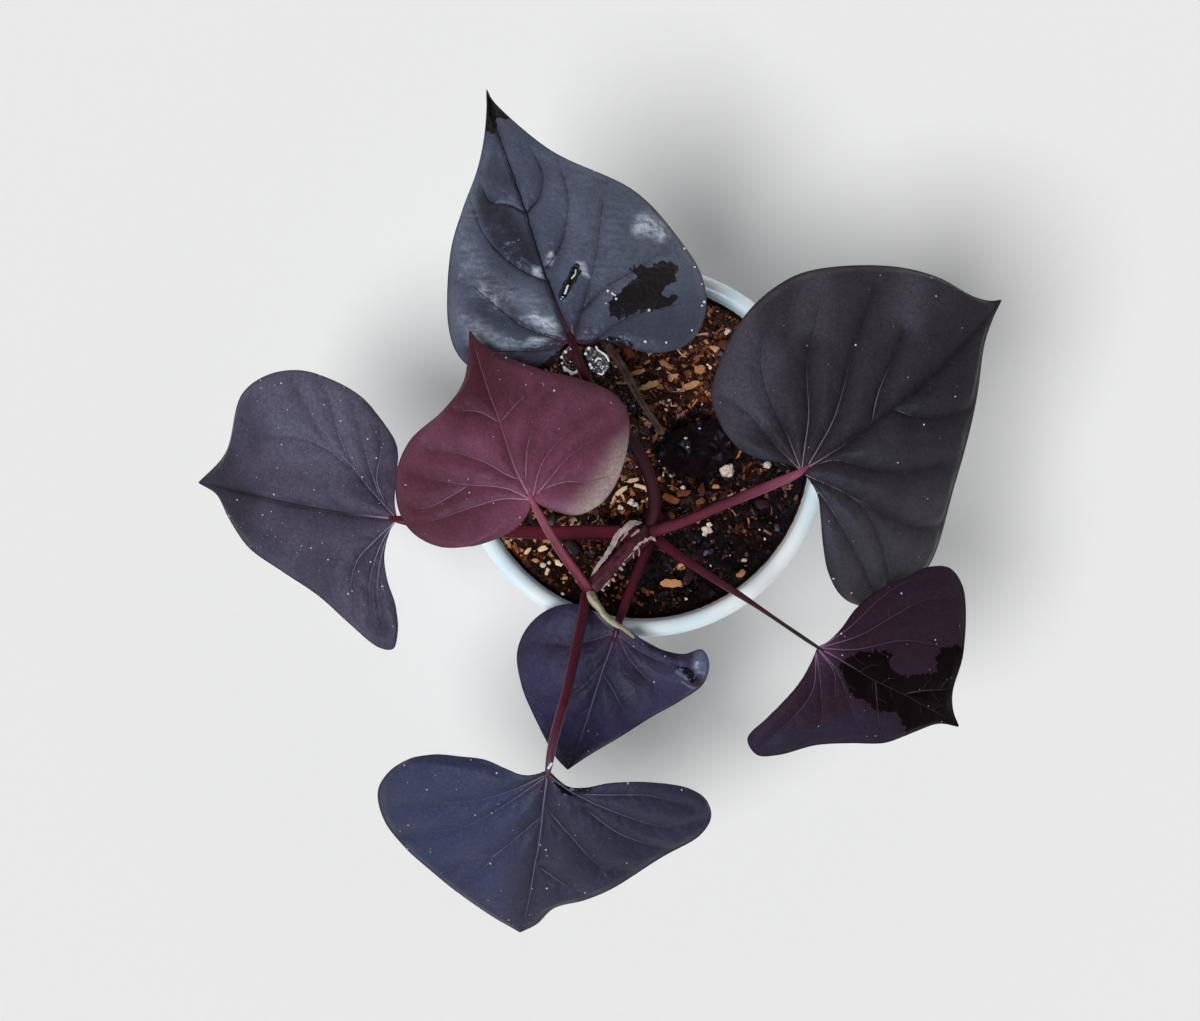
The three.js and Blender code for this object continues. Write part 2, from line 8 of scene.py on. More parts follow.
import bmesh
import bpy
import numpy as np
from bpy.types import Material, Node, NodeSocket, NodeTree, Object
from mathutils import Matrix, Vector, noise
from mathutils.bvhtree import BVHTree


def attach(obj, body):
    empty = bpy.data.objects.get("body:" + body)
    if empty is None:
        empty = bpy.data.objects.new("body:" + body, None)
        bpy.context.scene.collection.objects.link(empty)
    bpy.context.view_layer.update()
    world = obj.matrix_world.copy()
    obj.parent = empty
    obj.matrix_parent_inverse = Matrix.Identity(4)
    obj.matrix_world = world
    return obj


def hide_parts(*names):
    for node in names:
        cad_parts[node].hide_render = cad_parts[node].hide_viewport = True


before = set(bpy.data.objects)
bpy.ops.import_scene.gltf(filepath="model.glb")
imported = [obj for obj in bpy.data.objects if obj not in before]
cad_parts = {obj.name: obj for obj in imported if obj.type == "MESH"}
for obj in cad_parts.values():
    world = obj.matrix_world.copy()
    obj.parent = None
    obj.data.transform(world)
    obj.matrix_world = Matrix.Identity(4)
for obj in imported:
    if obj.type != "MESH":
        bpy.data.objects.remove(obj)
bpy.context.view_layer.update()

# A young sweet potato vine with seven dark heart-shaped leaves in a small white plastic pot. Sizes are in
# millimetres and are scaled to metres as each mesh is made. The origin is the centre of the pot's underside.
log = logging.getLogger("sweet_potato_vine")

MM = 0.001
BODY = "root"

Pair = tuple[float, float]
Point = tuple[float, ...]
Route = tuple[Point, ...]
Faces = list[tuple[int, ...]]
Inputs = dict[int | str, object]
Adder = Callable[..., Node]  # add_node, once it knows its tree

# Sockets go by number where their names repeat. On a Map Range node, 0 is the value, 1 and 2 are the ends of
# the range that it comes from, and 3 and 4 the ends of the one that it goes to. A Math node adds unless told
# otherwise. These are the sockets of the Mix node when it mixes colours, and of the one that mixes numbers.
MIX_FACTOR, MIX_A, MIX_B, MIX_COLOUR = 0, 6, 7, 2
MIX_LOW, MIX_HIGH, MIX_NUMBER = 2, 3, 0

# The mix is wet at the front right and dry at the back left: this way, between these distances.
DRY_SIDE = (-0.55, 0.85, 0.0)
DRY_FROM, DRY_TO = -44.0, -6.0
# Under and round the rotted leaf the mix is darker: partly it stays soaked, partly it is painted shade.
# Round this place in full out to the first distance, and less and less out to the second.
SOAKED_AND_SHADED = (17.0, 1.0, 88.0)
SOAKED_AND_SHADED_TO, SOAKED_AND_SHADED_END = 9.5, 16.0
SOAKED_AND_SHADED_DROP = -0.3

# The geometry trees' inputs for sizes.
SIZE_INPUTS = ("Density", "Smallest", "Largest", "Tilt", "Roughen", "Sink")


# ------------------------ small tools


def linear(colour: str) -> tuple[float, float, float, float]:
    """Turns an sRGB hex colour to linear.

    Args:
        colour: The colour, such as "#4a5060".

    Returns:
        Red, green, blue and an alpha of 1, as Blender's sockets take them.
    """
    channels = [int(colour[i : i + 2], 16) / 255 for i in (1, 3, 5)]
    return (*[c / 12.92 if c <= 0.04045 else ((c + 0.055) / 1.055) ** 2.4 for c in channels], 1.0)


def per_mm(size: float) -> float:
    """The scale of a texture on Object coordinates whose features are that many millimetres wide."""
    return 1 / (size * MM)


def add_node(
    tree: NodeTree, kind: str, inputs: Inputs | None = None, **settings: object
) -> Node:
    """Adds a node to a tree.

    Args:
        tree: The shader or geometry tree.
        kind: The node's type name.
        inputs: What goes into each socket, by name or number: a value, another node's socket, or another
            node, for its first socket.
        **settings: Properties of the node.

    Returns:
        The new node.
    """
    node = tree.nodes.new(kind)
    for name, value in settings.items():
        setattr(node, name, value)
    for key, value in (inputs or {}).items():
        source = value.outputs[0] if isinstance(value, Node) else value
        if isinstance(source, NodeSocket):
            tree.links.new(source, node.inputs[key])
        else:
            node.inputs[key].default_value = source
    return node


def smoothstep(low: float, high: float, value: np.ndarray) -> np.ndarray:
    """Rises smoothly from 0 at low to 1 at high."""
    share = np.clip((value - low) / (high - low), 0, 1)
    return share * share * (3 - 2 * share)


def bell(distance: np.ndarray, width: float | np.ndarray) -> np.ndarray:
    """1 at no distance, and next to nothing from twice the width on."""
    return np.exp(-((distance / width) ** 2))


def new_mesh(
    name: str,
    vertices: np.ndarray,
    faces: Faces,
    marks: dict[str, np.ndarray] | None = None,
    crease: float = 50,
) -> Object:
    """Makes a smooth-shaded mesh object at the origin.

    Args:
        name: The object's name.
        vertices: Points in millimetres.
        faces: Vertex numbers of each face, anticlockwise from outside.
        marks: A number for each vertex, by attribute name.
        crease: Edges sharper than this many degrees stay sharp.

    Returns:
        The linked object.
    """
    mesh = bpy.data.meshes.new(name)
    mesh.from_pydata((np.asarray(vertices, float) * MM).tolist(), [], faces)
    for mark, values in (marks or {}).items():
        layer = mesh.attributes.new(mark, "FLOAT", "POINT")
        layer.data.foreach_set("value", np.asarray(values, np.float32).ravel())
    mesh.shade_smooth()
    mesh.set_sharp_from_angle(angle=math.radians(crease))
    piece = bpy.data.objects.new(name, mesh)
    bpy.context.scene.collection.objects.link(piece)
    return piece


def settle(piece: Object) -> Object:
    """Turns a piece's modifiers into plain mesh and removes them."""
    graph = bpy.context.evaluated_depsgraph_get()
    graph.update()
    mesh = bpy.data.meshes.new_from_object(piece.evaluated_get(graph))
    mesh.name = piece.name
    piece.modifiers.clear()
    piece.data = mesh
    return piece


def face_outward(piece: Object) -> None:
    """Turns a closed mesh's faces outward."""
    shape = bmesh.new()
    shape.from_mesh(piece.data)
    bmesh.ops.recalc_face_normals(shape, faces=shape.faces)
    shape.to_mesh(piece.data)
    shape.free()


def ball(rounds: int) -> tuple[np.ndarray, Faces]:
    """A ball of radius 1 made of triangles.

    Args:
        rounds: How finely it is divided.

    Returns:
        Its vertices and faces.
    """
    shape = bmesh.new()
    bmesh.ops.create_icosphere(shape, subdivisions=rounds, radius=1)
    points = np.array([corner.co for corner in shape.verts])
    faces = [tuple(corner.index for corner in face.verts) for face in shape.faces]
    shape.free()
    return points, faces


def tube(steps: int, around: int) -> Faces:
    """Faces of a tube of rings of points, closed at both ends.

    Args:
        steps: How many rings follow the first.
        around: Points in a ring.

    Returns:
        The faces.
    """
    last = steps * around
    faces: Faces = [tuple(range(around - 1, -1, -1)), tuple(range(last, last + around))]
    for low in range(0, last, around):
        for j in range(around):
            nxt = (j + 1) % around
            faces.append((low + j, low + nxt, low + around + nxt, low + around + j))
    return faces


def clouds(points: np.ndarray, size: float, octaves: int = 1) -> np.ndarray:
    """Smooth noise from -1 to 1.

    Args:
        points: Points in two or three dimensions, in millimetres.
        size: Width of the noise's features, in millimetres.
        octaves: How many finer layers it has.

    Returns:
        A value for each point.
    """
    flat = points.reshape(-1, points.shape[-1]) / size
    spots = np.zeros((len(flat), 3))
    spots[:, : flat.shape[1]] = flat
    values = [noise.fractal(Vector(spot), 1.0, 2.0, octaves) for spot in spots]
    return np.array(values).reshape(points.shape[:-1])


class Heap:
    """Several shapes gathered into one mesh."""

    def __init__(self) -> None:
        """Starts empty."""
        self.vertices: list[np.ndarray] = []
        self.faces: Faces = []
        self.marks: dict[str, list[np.ndarray]] = {}
        self.count = 0

    def add(self, vertices: np.ndarray, faces: Faces, **marks: np.ndarray | float) -> None:
        """Adds a shape.

        Args:
            vertices: Its points in millimetres.
            faces: Its faces, by its own vertex numbers.
            **marks: A number for each vertex or for all of them, by attribute name.
        """
        self.faces += [tuple(self.count + corner for corner in face) for face in faces]
        self.vertices.append(vertices)
        self.count += len(vertices)
        for name, values in marks.items():
            self.marks.setdefault(name, []).append(np.broadcast_to(values, len(vertices)))

    def mesh(self, name: str, crease: float = 50, closed: bool = True) -> Object:
        """Makes the mesh, with its faces outward where the shapes are closed."""
        marks = {mark: np.concatenate(values) for mark, values in self.marks.items()}
        piece = new_mesh(name, np.vstack(self.vertices), self.faces, marks, crease)
        if closed:
            face_outward(piece)
        return piece


class Spline:
    """A centripetal Catmull-Rom curve through points, read by share of its length."""

    SAMPLES = 48  # for each span between two points

    def __init__(self, points: Route) -> None:
        """Samples the curve.

        Args:
            points: Two or more points in two or three dimensions, in millimetres.
        """
        path = np.zeros((len(points), 3))
        path[:, : len(points[0])] = points
        path = np.vstack([2 * path[0] - path[1], path, 2 * path[-1] - path[-2]])
        weights = np.linspace(0, 1, self.SAMPLES, endpoint=False)[:, None]
        spans = []
        for p0, p1, p2, p3 in zip(path, path[1:], path[2:], path[3:]):
            d0, d1, d2 = (math.sqrt(np.linalg.norm(b - a)) for a, b in ((p0, p1), (p1, p2), (p2, p3)))
            leave = ((p1 - p0) / d0 - (p2 - p0) / (d0 + d1) + (p2 - p1) / d1) * d1
            arrive = ((p2 - p1) / d1 - (p3 - p1) / (d1 + d2) + (p3 - p2) / d2) * d1
            square = -3 * p1 + 3 * p2 - 2 * leave - arrive
            cube = 2 * p1 - 2 * p2 + leave + arrive
            spans.append(p1 + leave * weights + square * weights**2 + cube * weights**3)
        self.points = np.vstack([*spans, path[-2:-1]])
        steps = np.linalg.norm(np.diff(self.points, axis=0), axis=1)
        self.length = float(steps.sum())
        self.shares = np.concatenate([[0], np.cumsum(steps)]) / self.length

    def at(self, share: np.ndarray | float) -> np.ndarray:
        """Points at shares of the length from 0 to 1."""
        share = np.atleast_1d(share)
        return np.stack([np.interp(share, self.shares, self.points[:, k]) for k in range(3)], axis=-1)

    def distance(self, plan: np.ndarray, step: float) -> tuple[np.ndarray, np.ndarray]:
        """Measures points of a plan from the curve.

        Args:
            plan: Points in two dimensions, one a row.
            step: Length of the straight pieces that stand for the curve, in millimetres.

        Returns:
            Each point's distance, and the share of the curve's length where it is nearest.
        """
        count = max(2, math.ceil(self.length / step))
        line = self.at(np.linspace(0, 1, count + 1))[:, :2]
        best = np.full(len(plan), np.inf)
        share = np.zeros(len(plan))
        for k in range(count):
            start, run = line[k], line[k + 1] - line[k]
            along = np.clip((plan - start) @ run / (run @ run), 0, 1)
            gap = np.hypot(*(plan - start - along[:, None] * run).T)
            nearer = gap < best
            best = np.where(nearer, gap, best)
            share = np.where(nearer, (k + along) / count, share)
        return best, share


def dice(seed: int) -> Iterator[float]:
    """A stream of numbers from 0 to 1 that is the same on every run.

    Args:
        seed: The stream's seed.

    Yields:
        The next number.
    """
    state, whole = seed, 0xFFFFFFFF
    while True:
        state = (state + 0x6D2B79F5) & whole
        mixed = ((state ^ (state >> 15)) * (1 | state)) & whole
        mixed = ((mixed + (((mixed ^ (mixed >> 7)) * (61 | mixed)) & whole)) & whole) ^ mixed
        yield ((mixed ^ (mixed >> 14)) & whole) / 4294967296


# ------------------------ finishes


@dataclass(frozen=True)
class Finish:
    """What a surface is made of. Each kind of material has its own class below."""

    name: str

    def material(self) -> Material:
        """Makes the material, or finds the one that is already made."""
        found = bpy.data.materials.get(self.name)
        if found:
            return found
        material = bpy.data.materials.new(self.name)
        material.use_nodes = True
        material.node_tree.nodes.clear()
        add = partial(add_node, material.node_tree)
        skin = add("ShaderNodeBsdfPrincipled", self.dress(add))
        add("ShaderNodeOutputMaterial", {"Surface": skin})
        return material

    def dress(self, add: Adder) -> Inputs:
        """Adds the nodes of the pattern.

        Args:
            add: Adds a node to the material.

        Returns:
            What goes into the shader's sockets.
        """
        raise NotImplementedError


def lay(add: Adder, base: str, *layers: tuple[object, str]) -> NodeSocket:
    """Lays colours over a base, one after the other.

    Args:
        add: Adds a node to the material.
        base: The base's hex colour.
        *layers: How much of each colour shows, as a socket, a node or a number, and its hex colour.

    Returns:
        The socket of the result.
    """
    colour: object = linear(base)
    for share, over in layers:
        inputs = {MIX_FACTOR: share, MIX_A: colour, MIX_B: linear(over)}
        colour = add("ShaderNodeMix", inputs, data_type="RGBA").outputs[MIX_COLOUR]
    return colour


@dataclass(frozen=True)
class MouldedPlastic(Finish):
    """Injection-moulded polypropylene: smooth, softly glossy, a cool white that lets some light through."""

    colour: str = "#f2fafe"
    cool: str = "#cce5f4"
    wall: float = 0.25  # how far the cool patches show on the wall
    rim: Pair = (78, 90)  # heights between which they come to show in full
    stain: str = "#3a251b"
    soil_line: float = 89.2  # damp mix has marked the wall up to here
    splash: float = 2.0
    roughness: float = 0.3
    glow: float = 0.45  # share of the light that enters the plastic
    spread: float = 5.0  # how far it travels inside, in millimetres
    patch_size: float = 24
    scuff_size: float = 5
    grit_size: float = 1.6
    patchy: Pair = (0.38, 0.68)  # values of the noise between which a patch fades in
    dirty: Pair = (0.95, 1.15)  # the same for the stain

    def dress(self, add: Adder) -> Inputs:
        """Cool patches on the rim, a stain where the mix splashed the inner wall, and faint scuffs."""
        place = add("ShaderNodeTexCoord").outputs["Object"]
        patch = {"Vector": place, "Scale": per_mm(self.patch_size), "Detail": 2.0}
        cloud = add("ShaderNodeTexNoise", patch)
        height = add("ShaderNodeSeparateXYZ", {0: place}).outputs["Z"]
        low, high = (z * MM for z in self.rim)
        rim = add("ShaderNodeMapRange", {0: height, 1: low, 2: high, 3: self.wall, 4: 1.0})
        patches = add("ShaderNodeMapRange", {0: cloud, 1: self.patchy[0], 2: self.patchy[1]})
        cool = add("ShaderNodeMath", {0: patches, 1: rim}, operation="MULTIPLY")
        gritty = {"Vector": place, "Scale": per_mm(self.grit_size), "Detail": 4.0}
        grit = add("ShaderNodeTexNoise", gritty)
        inner = add("ShaderNodeAttribute", attribute_name="inside").outputs["Fac"]
        line, top = self.soil_line * MM, (self.soil_line + self.splash) * MM
        near_mix = add("ShaderNodeMapRange", {0: height, 1: line, 2: top, 3: 1.0, 4: 0.0})
        splash = add("ShaderNodeMath", {0: near_mix, 1: inner}, operation="MULTIPLY")
        speckled = add("ShaderNodeMath", {0: splash, 1: grit})
        dirty = add("ShaderNodeMapRange", {0: speckled, 1: self.dirty[0], 2: self.dirty[1]})
        scuffed = {"Vector": place, "Scale": per_mm(self.scuff_size), "Detail": 3.0}
        scuff = add("ShaderNodeTexNoise", scuffed)
        least, most = self.roughness - 0.02, self.roughness + 0.08
        return {
            "Base Color": lay(add, self.colour, (cool, self.cool), (dirty, self.stain)),
            "Roughness": add("ShaderNodeMapRange", {0: scuff, 1: 0.3, 2: 0.7, 3: least, 4: most}),
            "IOR": 1.49,
            "Subsurface Weight": self.glow,
            "Subsurface Scale": self.spread * MM,
            "Subsurface Radius": (1.0, 1.0, 1.0),
            "Normal": add("ShaderNodeBump", {"Height": scuff, "Strength": 0.03, "Distance": 0.2 * MM}),
        }


def dryness(add: Adder, place: NodeSocket, wet: float, dry: float) -> Node:
    """How dry the mix is at a place: wet at the front right of the pot, dry at the back left.

    Args:
        add: Adds a node to the material.
        place: Object coordinates.
        wet: The value at the front right.
        dry: The value at the back left.

    Returns:
        The node that gives the value.
    """
    way = add("ShaderNodeVectorMath", {0: place, 1: DRY_SIDE}, operation="DOT_PRODUCT").outputs["Value"]
    across = add("ShaderNodeMapRange", {0: way, 1: DRY_FROM * MM, 2: DRY_TO * MM, 3: wet, 4: dry})
    # Darker round the rotted leaf: partly soaked mix, partly painted shade.
    centre = tuple(k * MM for k in SOAKED_AND_SHADED)
    gap = add("ShaderNodeVectorMath", {0: place, 1: centre}, operation="DISTANCE").outputs["Value"]
    near = {0: gap, 1: SOAKED_AND_SHADED_TO * MM, 2: SOAKED_AND_SHADED_END * MM, 3: SOAKED_AND_SHADED_DROP, 4: 0.0}
    return add("ShaderNodeMath", {0: across, 1: add("ShaderNodeMapRange", near)})


def ramped(add: Adder, share: object, tones: dict[float, str]) -> Node:
    """Reads a colour off a ramp.

    Args:
        add: Adds a node to the material.
        share: Where on the ramp to read, as a node or a socket.
        tones: Hex colours by their place on the ramp, from 0 to 1, two at least.

    Returns:
        The node that gives the colour.
    """
    ramp = add("ShaderNodeValToRGB", {0: share})
    elements = ramp.color_ramp.elements
    places = sorted(tones)
    elements[0].position, elements[1].position = places[0], places[-1]
    elements[0].color, elements[1].color = linear(tones[places[0]]), linear(tones[places[-1]])
    for spot in places[1:-1]:
        elements.new(spot).color = linear(tones[spot])
    return ramp


@dataclass(frozen=True)
class Compost(Finish):
    """Damp milled bark and peat: almost black where wet, red-brown where it dries, matt with few glints."""

    wet: str = "#0b0504"
    damp: str = "#29140c"
    dry: str = "#7a4527"
    roughness: float = 0.7
    peat_size: float = 1.5
    lump_size: float = 1.0
    own: float = 0.4  # share of each grain's own tone
    lumpy: float = 0.7  # share of the lumps
    dryness: Pair = (-0.34, 0.07)  # what the wet and the dry side add
    stops: tuple[float, ...] = (0.28, 0.58, 0.95)  # where it is wet, damp and dry

    def dress(self, add: Adder) -> Inputs:
        """Grains of peat in three tones, drier towards the back of the pot."""
        place = add("ShaderNodeTexCoord").outputs["Object"]
        peat = {"Vector": place, "Scale": per_mm(self.peat_size)}
        grain = add("ShaderNodeTexVoronoi", peat, feature="F1")
        lumpy = {"Vector": place, "Scale": per_mm(self.lump_size), "Detail": 5.0}
        lumps = add("ShaderNodeTexNoise", lumpy)
        tone = add("ShaderNodeSeparateColor", {0: grain.outputs["Color"]})
        own = {0: tone, 1: self.own, 2: dryness(add, place, *self.dryness)}
        mixed = add("ShaderNodeMath", own, operation="MULTIPLY_ADD")
        total = add("ShaderNodeMath", {0: lumps, 1: self.lumpy, 2: mixed}, operation="MULTIPLY_ADD")
        tones = dict(zip(self.stops, (self.wet, self.damp, self.dry)))
        return {
            "Base Color": ramped(add, total, tones),
            "Roughness": self.roughness,
            "Specular IOR Level": 0.15,
            "Normal": add("ShaderNodeBump", {"Height": lumps, "Strength": 0.9, "Distance": 0.6 * MM}),
        }


@dataclass(frozen=True)
class Bark(Finish):
    """Pine bark in flakes: each flake its own brown, with fine lengthwise grain and a damp sheen."""

    tones: tuple[str, ...] = ("#0e0604", "#22100a", "#3f1f13", "#6e3a22", "#9f613d", "#c98f62", "#f2d2ab")
    shift: float = 0.0  # added to each flake's shade: less than 0 is darker
    roughness: float = 0.55
    grain_size: float = 0.45
    skew: float = 2.6  # power that keeps most flakes at the dark end
    own: float = 0.8  # share of the flake's own shade
    grainy: float = 0.36  # share of the grain
    dryness: Pair = (-0.34, 0.02)  # what the wet and the dry side add

    def dress(self, add: Adder) -> Inputs:
        """A tone for each flake from its own shade, brighter where the mix is dry."""
        place = add("ShaderNodeTexCoord").outputs["Object"]
        shade = add("ShaderNodeAttribute", attribute_name="shade").outputs["Fac"]
        grained = {"Vector": place, "Scale": per_mm(self.grain_size), "Detail": 3.0}
        grain = add("ShaderNodeTexNoise", grained)
        skewed = add("ShaderNodeMath", {0: shade, 1: self.skew}, operation="POWER")
        wet_side, dry_side = self.dryness
        drier = dryness(add, place, self.shift + wet_side, self.shift + dry_side)
        own = add("ShaderNodeMath", {0: skewed, 1: self.own, 2: drier}, operation="MULTIPLY_ADD")
        total = add("ShaderNodeMath", {0: grain, 1: self.grainy, 2: own}, operation="MULTIPLY_ADD")
        tones = {k / (len(self.tones) - 1): tone for k, tone in enumerate(self.tones)}
        return {
            "Base Color": ramped(add, total, tones),
            "Roughness": self.roughness,
            "IOR": 1.45,
            "Specular IOR Level": 0.25,
            # A thin film of water: small sharp glints on the flakes that face the light.
            "Coat Weight": 0.12,
            "Coat Roughness": 0.12,
            "Normal": add("ShaderNodeBump", {"Height": grain, "Strength": 0.7, "Distance": 0.3 * MM}),
        }


@dataclass(frozen=True)
class Mineral(Finish):
    """Expanded perlite: chalky white glass foam, pitted, with soil rubbed into its pores."""

    colour: str = "#f8ede4"
    pores: str = "#b0917f"

    def dress(self, add: Adder) -> Inputs:
        """Pits that are darker than the face."""
        scale = {"Vector": add("ShaderNodeTexCoord").outputs["Object"], "Scale": per_mm(0.55)}
        pits = add("ShaderNodeTexVoronoi", scale, feature="F1").outputs["Distance"]
        deep = add("ShaderNodeMapRange", {0: pits, 1: 0.1, 2: 0.75, 3: 1.0, 4: 0.0})
        return {
            "Base Color": lay(add, self.colour, (deep, self.pores)),
            "Roughness": 0.85,
            "Normal": add("ShaderNodeBump", {"Height": pits, "Strength": 0.5, "Distance": 0.2 * MM}),
        }


@dataclass(frozen=True)
class Water(Finish):
    """Water on a dark leaf: mirror smooth, dark as what lies under it, with small bright reflections."""

    colour: str
    pale: str  # a second tone in streaks; the pale grey streaks on the grey water are painted reflection

    def dress(self, add: Adder) -> Inputs:
        """Streaks of a second tone, and a surface that trembles a little."""
        scale = {"Vector": add("ShaderNodeTexCoord").outputs["Object"], "Scale": per_mm(1.1), "Detail": 3.0}
        ripple = add("ShaderNodeTexNoise", scale)
        streak = add("ShaderNodeMapRange", {0: ripple, 1: 0.5, 2: 0.66})
        return {
            "Base Color": lay(add, self.colour, (streak, self.pale)),
            "Roughness": 0.03,
            "IOR": 1.33,
            "Coat Weight": 1.0,
            "Coat Roughness": 0.03,
            "Normal": add("ShaderNodeBump", {"Height": ripple, "Strength": 0.12, "Distance": 0.2 * MM}),
        }


@dataclass(frozen=True)
class Froth(Finish):
    """Fine froth: tiny bubbles that scatter the light, white with a wet gloss; some beads of it are painted
    glints.
    """

    colour: str = "#eef1f4"
    cell: str = "#aab4bb"

    def dress(self, add: Adder) -> Inputs:
        """Bubbles that show as faint greyer cells."""
        scale = {"Vector": add("ShaderNodeTexCoord").outputs["Object"], "Scale": per_mm(0.3)}
        cells = add("ShaderNodeTexVoronoi", scale, feature="F1").outputs["Distance"]
        return {
            "Base Color": lay(add, self.colour, (cells, self.cell)),
            "Roughness": 0.25,
            "Coat Weight": 1.0,
            "Coat Roughness": 0.05,
        }


@dataclass(frozen=True)
class Speck(Finish):
    """Dried sap beads and splashed lime on the blades: dull off-white crumbs."""

    colour: str = "#d8d2da"
    grey: str = "#7b7081"

    def dress(self, add: Adder) -> Inputs:
        """Some beads greyer than others."""
        shade = add("ShaderNodeAttribute", attribute_name="shade").outputs["Fac"]
        return {"Base Color": lay(add, self.grey, (shade, self.colour)), "Roughness": 0.6}


@dataclass(frozen=True)
class BladeSkin(Finish):
    """A living leaf blade: a thin waxy skin over dark pigmented flesh, netted with fine veins."""

    tone: str
    far_tone: str
    deep: str  # in the fine net, along the margin, and as painted shade in the valleys along the veins
    hub: str
    patch: str  # pale patches: mostly painted sheen and highlights, on the young blade a paler margin
    crest: str  # painted sheen on the swells between the veins
    shade: str  # painted shade in the hollows, and the colour of the dark patches: partly painted shade, partly darker tone
    film: str = "#120b10"  # under a film of water
    roughness: float = 0.5
    specular: float = 0.25
    wax: float = 0.1  # weight of the glossy coat
    wax_roughness: float = 0.35
    net: float = 0.25  # how far the fine net of veins shows in the colour
    mottle: float = 0.35
    fleck: float = 1.2  # how broken the pale places are
    fray: float = 3.6  # how ragged the edge of a film of water is, in millimetres
    film_roughness: float = 0.26
    wrinkle: float = 0.35
    wrinkle_way: float = 0.0  # which way wrinkles run, in radians from x
    wrinkle_length: float = 1.0  # over their width
    cloud_size: float = 9  # this and the sizes below in millimetres
    speckle_size: float = 0.7
    fold_size: float = 2.6
    fray_size: float = 2.0
    net_size: float = 2.1
    streak_size: float = 1.2

    def dress(self, add: Adder) -> Inputs:
        """Two mottled tones, a fine net, a rim, painted shade in the valleys and hollows, painted sheen on
        the swells, pale places that are mostly painted sheen and highlights, and films of water.
        """
        place = add("ShaderNodeTexCoord").outputs["Object"]
        names = ("valley", "hub", "far", "wet", "rim", "pale", "crest", "shade")
        read = [add("ShaderNodeAttribute", attribute_name=name).outputs["Fac"] for name in names]
        valley, hub, far, wet, rim, pale, crest, shade = read
        clouded = {"Vector": place, "Scale": per_mm(self.cloud_size), "Detail": 5.0}
        cloud = add("ShaderNodeTexNoise", clouded)
        speckled = {"Vector": place, "Scale": per_mm(self.speckle_size), "Detail": 3.0}
        fine = add("ShaderNodeTexNoise", speckled)
        turn, narrow = (0.0, 0.0, -self.wrinkle_way), (1 / self.wrinkle_length, 1.0, 1.0)
        laid = add("ShaderNodeMapping", {"Vector": place, "Rotation": turn, "Scale": narrow})
        folded = {"Vector": laid, "Scale": per_mm(self.fold_size), "Detail": 2.0}
        folds = add("ShaderNodeTexNoise", folded)
        frayed = {"Vector": place, "Scale": per_mm(self.fray_size), "Detail": 4.0}
        ragged = add("ShaderNodeTexNoise", frayed)
        netted = {"Vector": place, "Scale": per_mm(self.net_size)}
        cells = add("ShaderNodeTexVoronoi", netted, feature="DISTANCE_TO_EDGE").outputs["Distance"]
        mottle = add("ShaderNodeMapRange", {0: cloud, 1: 0.3, 2: 0.7, 3: -self.mottle, 4: self.mottle})
        spread = add("ShaderNodeMath", {0: far, 1: mottle}, use_clamp=True)
        shrunk = {0: ragged, 1: self.fray, 2: -self.fray / 2}
        depth = add("ShaderNodeMath", {0: wet, 1: add("ShaderNodeMath", shrunk, operation="MULTIPLY_ADD")})
        soaked = add("ShaderNodeMapRange", {0: depth, 1: -0.1, 2: 0.1})
        streaked = {"Vector": laid, "Scale": per_mm(self.streak_size), "Detail": 4.0}
        streaks = add("ShaderNodeTexNoise", streaked)
        broken = {0: streaks, 1: self.fleck, 2: 1 - self.fleck / 2}
        uneven = add("ShaderNodeMath", broken, operation="MULTIPLY_ADD")
        # The pale places, broken up: mostly painted sheen and highlights.
        thin = add("ShaderNodeMath", {0: pale, 1: uneven}, operation="MULTIPLY", use_clamp=True)
        thread = add("ShaderNodeMapRange", {0: cells, 1: 0.0, 2: 0.1, 3: self.net, 4: 0.0})
        # The tones: painted sheen on the swells, painted shade in the hollows and the dark patches, mostly
        # painted sheen and highlights in the pale places, and painted shade in the valleys along the veins.
        face = lay(
            add,
            self.tone,
            (spread, self.far_tone),
            (crest, self.crest),
            (shade, self.shade),
            (thin, self.patch),
            (hub, self.hub),
            (thread, self.deep),
            (valley, self.deep),
            (rim, self.deep),
            (soaked, self.film),
        )
        speckle = add("ShaderNodeMapRange", {0: fine, 1: 0.3, 2: 0.7, 3: 0.82, 4: 1.18})
        both = {MIX_FACTOR: 1.0, MIX_A: face, MIX_B: speckle}
        grainy = add("ShaderNodeMix", both, data_type="RGBA", blend_type="MULTIPLY")
        least, most = self.roughness - 0.07, self.roughness + 0.07
        dull = add("ShaderNodeMapRange", {0: cloud, 1: 0.35, 2: 0.65, 3: least, 4: most})
        shine = add("ShaderNodeMix", {MIX_FACTOR: soaked, MIX_LOW: dull, MIX_HIGH: self.film_roughness})
        waxy = add("ShaderNodeMix", {MIX_FACTOR: soaked, MIX_LOW: self.wax, MIX_HIGH: 0.0})
        hollow = add("ShaderNodeMapRange", {0: cells, 1: 0.0, 2: 0.3})
        grain = add("ShaderNodeMath", {0: fine, 1: 0.5, 2: hollow}, operation="MULTIPLY_ADD")
        crease = add("ShaderNodeMath", {0: folds, 1: 4.0, 2: grain}, operation="MULTIPLY_ADD")
        relief = {"Height": crease, "Strength": self.wrinkle, "Distance": 0.14 * MM}
        return {
            "Base Color": grainy.outputs[MIX_COLOUR],
            "Roughness": shine.outputs[MIX_NUMBER],
            "IOR": 1.42,
            "Specular IOR Level": self.specular,
            "Coat Weight": waxy.outputs[MIX_NUMBER],
            "Coat Roughness": self.wax_roughness,
            "Coat IOR": 1.4,
            "Normal": add("ShaderNodeBump", relief),
        }


